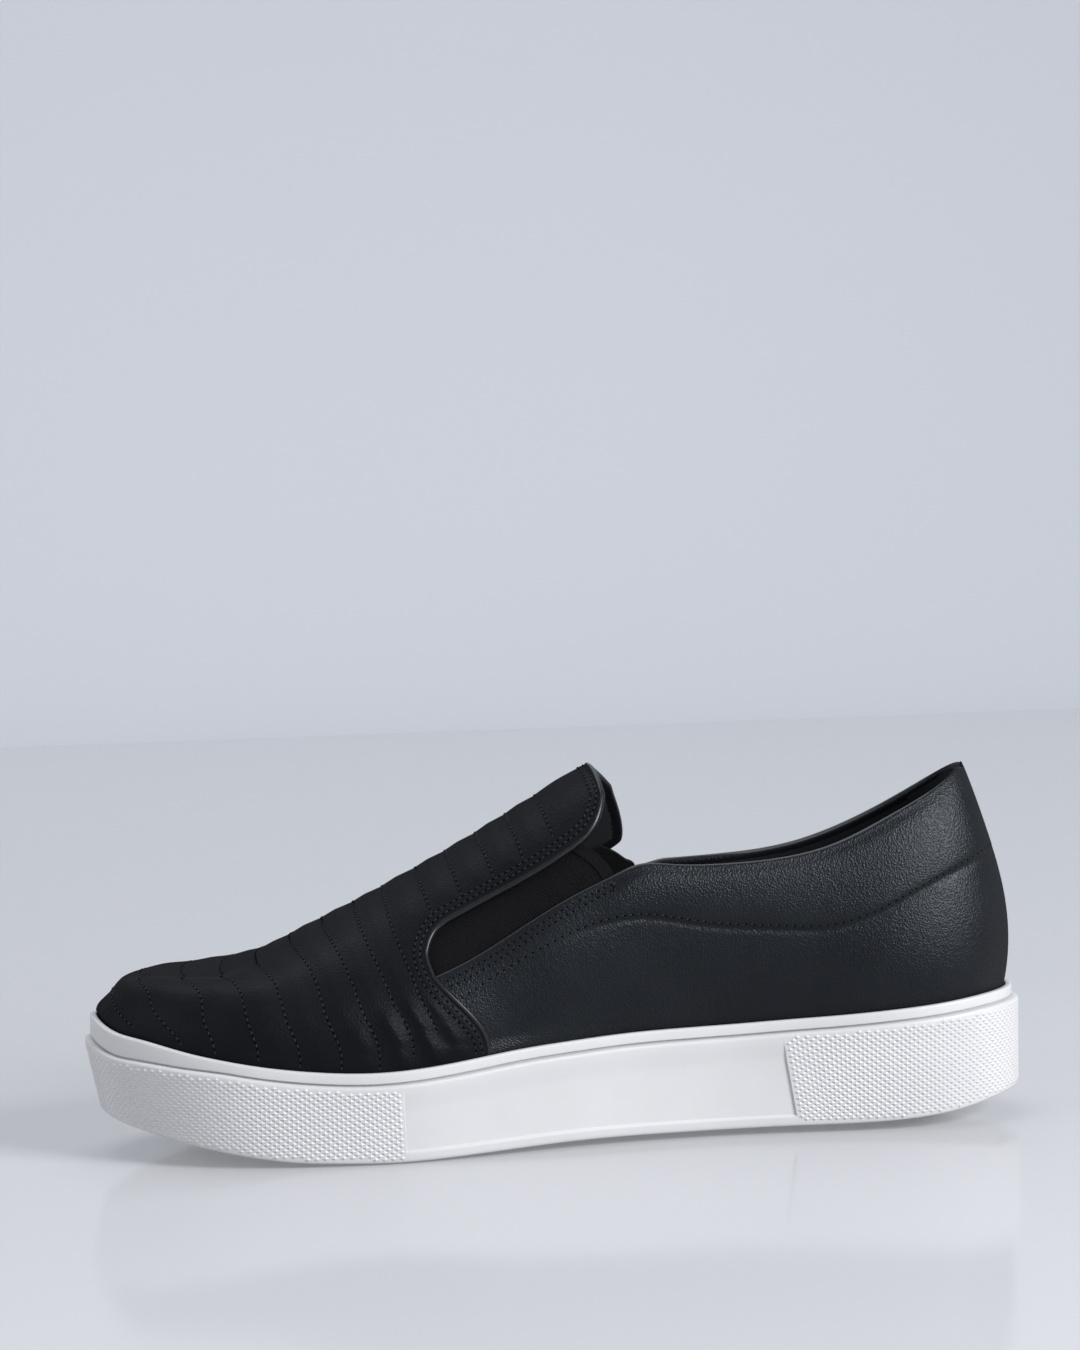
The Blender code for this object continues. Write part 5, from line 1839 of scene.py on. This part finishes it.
def stud_places():
    """Points, outward and sideways directions of the bumpers' studs."""
    total = OUTLINE_CURVE.total
    rear = OUTLINE_CURVE.arc(REAR_BUMPER_END, -1) - STUD_SIDE_MARGIN
    front = OUTLINE_CURVE.arc(FRONT_BUMPER_END, -1) + STUD_SIDE_MARGIN
    front_outer = OUTLINE_CURVE.arc(FRONT_BUMPER_END, 1) - STUD_SIDE_MARGIN
    rear_outer = OUTLINE_CURVE.arc(REAR_BUMPER_END, 1) + STUD_SIDE_MARGIN
    fields = ((front, front_outer), (rear_outer, total + rear))
    points, outward, across = [], [], []
    for start, end in fields:
        count = int(round((end - start) / STUD_PITCH))
        pitch = (end - start) / count
        for level in range(0, 60):
            height = level * STUD_ROW / 2.0
            shift = 0.5 * pitch if level % 2 else 0.0
            arcs = start + shift + pitch * np.arange(0, count + 1)
            arcs = arcs[arcs <= end + 1e-9] % total
            along = OUTLINE_CURVE.read(arcs)[:, 0]
            _, _, shoulder, edge = wall_profile(along)
            high = shoulder - SHOULDER_HEIGHT + STUD_TOP_MARGIN
            low = edge + STUD_FOOT_MARGIN
            fits = (height > low) & (height < high)
            if not fits.any():
                continue
            arcs, along = arcs[fits], along[fits]
            slope = wall_taper(along) / (shoulder - edge)[fits]
            leaned = arcs + lean_shift(arcs, along, height)
            flat, out = OUTLINE_CURVE.points(leaned, wall_inset_at(along, height))
            place = to_frame(flat[:, 0], flat[:, 1], height + 0.0 * along)
            direction = np.stack([-out[:, 0], out[:, 1], 0.0 * along], axis=1)
            direction[:, 2] = -slope
            direction /= np.linalg.norm(direction, axis=1)[:, None]
            sideways = np.cross([0.0, 0.0, 1.0], direction)
            points.append(place - direction * STUD_SINK)
            outward.append(direction)
            across.append(sideways)
    return np.concatenate(points), np.concatenate(outward), np.concatenate(across)


def build_studs(rubber):
    """Diamond texture of the toe and heel bumpers."""
    points, outward, across = stud_places()
    base = point_cloud("stud_points", points, outward, across)
    stud = stud_shape()
    values = {
        "Stud": stud,
        "Width": STUD_PITCH,
        "Rise": STUD_ROW,
        "Height": STUD_HEIGHT + STUD_SINK,
        "Material": rubber,
    }
    shape = grown("bumper_studs", base, stud_tree(), values, 20.0)
    bpy.data.objects.remove(stud)
    return shape


def set_camera():
    """Camera of the photograph, rolled with it."""
    turn, pitch, roll = (math.radians(angle) for angle in (CAMERA_TURN, CAMERA_PITCH, CAMERA_ROLL))
    forward = Vector((
        math.sin(turn) * math.cos(pitch),
        math.cos(turn) * math.cos(pitch),
        -math.sin(pitch),
    ))
    level = Vector((math.cos(turn), -math.sin(turn), 0.0))
    upright = level.cross(forward)
    right = level * math.cos(roll) - upright * math.sin(roll)
    up = level * math.sin(roll) + upright * math.cos(roll)
    data = bpy.data.cameras.new("camera")
    data.sensor_fit = "AUTO"
    data.sensor_width = SENSOR
    data.lens = CAMERA_FOCAL_PIXELS / IMAGE_LONG_SIDE * SENSOR
    data.clip_start, data.clip_end = CAMERA_REACH
    camera = add_object("camera", data)
    matrix = Matrix((right, up, -forward)).transposed().to_4x4()
    matrix.translation = Vector(CAMERA_PLACE) - Vector((0.0, MIDDLE_ACROSS, 0.0))
    camera.matrix_world = matrix
    bpy.context.scene.camera = camera


def area_light(name, place, aim, size, power, colour):
    """Rectangular soft light aimed at a point."""
    data = bpy.data.lights.new(name, "AREA")
    data.shape = "RECTANGLE"
    data.size, data.size_y = size
    data.energy = power
    data.color = colour
    light = add_object(name, data)
    light.location = place
    light.rotation_euler = (Vector(aim) - Vector(place)).to_track_quat("-Z", "Y").to_euler()


def build_stage():
    """Pale glossy table and a matt backdrop that curves up behind it."""
    # The table's glow is painted light that lightens the shade on it.
    table = make_studio("pale_table", (0.42, 0.42, 0.43), 0.11, 0.035,
                        (TABLE_FRONT_PAINTED_GLOW, TABLE_REAR_PAINTED_GLOW))
    wall = make_studio("pale_backdrop", (0.47, 0.485, 0.52), 0.95, 0.0, (0.18, 0.18))
    profile = [(STAGE_FRONT, 0.0), (-0.6, 0.0), (0.0, 0.0), (FLOOR_DEPTH, 0.0)]
    for step in range(1, 25):
        angle = math.pi / 2.0 * step / 24.0
        profile.append((FLOOR_DEPTH + BACKDROP_RADIUS * math.sin(angle),
                        BACKDROP_RADIUS * (1.0 - math.cos(angle))))
    profile.append((FLOOR_DEPTH + BACKDROP_RADIUS, BACKDROP_HEIGHT))
    grid = np.array([[(x, y, z) for x in (-STAGE_HALF_WIDTH, STAGE_HALF_WIDTH)] for y, z in profile])
    kinds = np.array([[0 if y <= FLOOR_DEPTH else 1] for y, _ in profile[1:]])
    work = Patchwork()
    work.add(grid, False, kinds)
    stage = work.finish("stage", [table, wall])
    return stage


def light_studio():
    """Broad light from the right front, weak ones from above and the left."""
    world = bpy.data.worlds.new("studio")
    bpy.context.scene.world = world
    world.use_nodes = True
    background = world.node_tree.nodes["Background"]
    background.inputs["Color"].default_value = ROOM_COLOUR
    background.inputs["Strength"].default_value = ROOM_STRENGTH
    for lamp in LAMPS:
        area_light(*lamp)
    bpy.context.scene.view_settings.view_transform = "Standard"


def main():
    """Dresses every node of the shoe and sets up the studio."""
    sides = (UpperSide(-1), UpperSide(1))
    leather = make_leather("black_leather", QUARTER_ROUGHNESS, QUARTER_SPECULAR)
    # Less glossy copy of the same leather, as painted shade on the vamp.
    shaded_vamp_leather = make_leather("shaded_vamp_leather", VAMP_ROUGHNESS, VAMP_SHADE_SPECULAR)
    folded = make_folded_edge()
    lining = make_lining()
    elastic = make_cloth("black_elastic", (0.0080, 0.0080, 0.0092), (0.0020, 0.0020, 0.0024), 3000.0, 0.85)
    footbed_cloth = make_cloth("footbed_cloth", (0.024, 0.024, 0.026), (0.010, 0.010, 0.011), 2200.0, 0.88)
    rubber = make_rubber("white_rubber", (0.615, 0.61, 0.615), (0.585, 0.58, 0.585), 0.46)
    tread_rubber = make_rubber("tread_rubber", (0.70, 0.69, 0.66), (0.64, 0.63, 0.60), 0.60)
    thread = make_thread()
    # Near-black caps painted with the shade of the needle's holes.
    hole = make_hole_shade()

    vamp = build_vamp(sides, shaded_vamp_leather, lining, folded)
    quarters = build_quarters(sides, leather, lining, folded)
    dress(vamp, "upper_leather", "upper")
    dress(quarters, "upper_leather", "upper")
    for side, node in zip(sides, ("gore_inner", "gore_outer")):
        dress(build_gore(side, elastic), "gore_elastic", node)
    dress(build_sole(rubber), "midsole_rubber", "midsole")
    dress(build_studs(rubber), "midsole_rubber", "midsole")
    dress(build_insole(footbed_cloth), "insole_fabric", "insole")
    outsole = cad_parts["outsole"]
    outsole.data.materials.clear()
    outsole.data.materials.append(tread_rubber)

    on_vamp = surface_search(vamp)
    on_quarters = surface_search(quarters)
    edge_paths = [both_sides(sides, lambda side, gap=gap: shifted_boundary(side, gap))
                  for gap in (EDGE_STITCH, BORDER_STITCH)]
    quilting = []
    for inner, outer in zip(quilting_paths(sides[0]), quilting_paths(sides[1])):
        quilting.append(np.concatenate([inner[::-1], outer[1:]]))
    build_seam("quilting_stitches", on_vamp, quilting, thread, hole)
    build_seam("vamp_edge_stitches", on_vamp, edge_paths, thread, hole)
    quarter_paths = []
    for side in sides:
        rows = np.linspace(*GORE_STITCH_ROWS, 160)
        foot, _ = side.foot(rows)
        length = np.linalg.norm(side.edge(rows) - foot, axis=1)
        pair = [surface(side, rows, 1.0 - gap / length) for gap in (GORE_STITCH, GORE_SECOND_STITCH)]
        quarter_paths += pair
        quarter_paths.append(np.array([pair[0][0], pair[1][0]]))
    collar_rows = [collar_path(side) for side in sides]
    for side in sides:
        seam = np.array([surface(side, np.array([BACK_SEAM_ROW]), np.array([place]))[0]
                         for place in np.linspace(*BACK_SEAM_PLACES, 60)])
        quarter_paths.append(seam)
    build_seam("quarter_stitches", on_quarters, quarter_paths, thread, hole)
    build_seam("collar_stitches", on_quarters, collar_rows, thread, hole, COLLAR_PITCH)

    build_stage()
    light_studio()
    set_camera()


main()
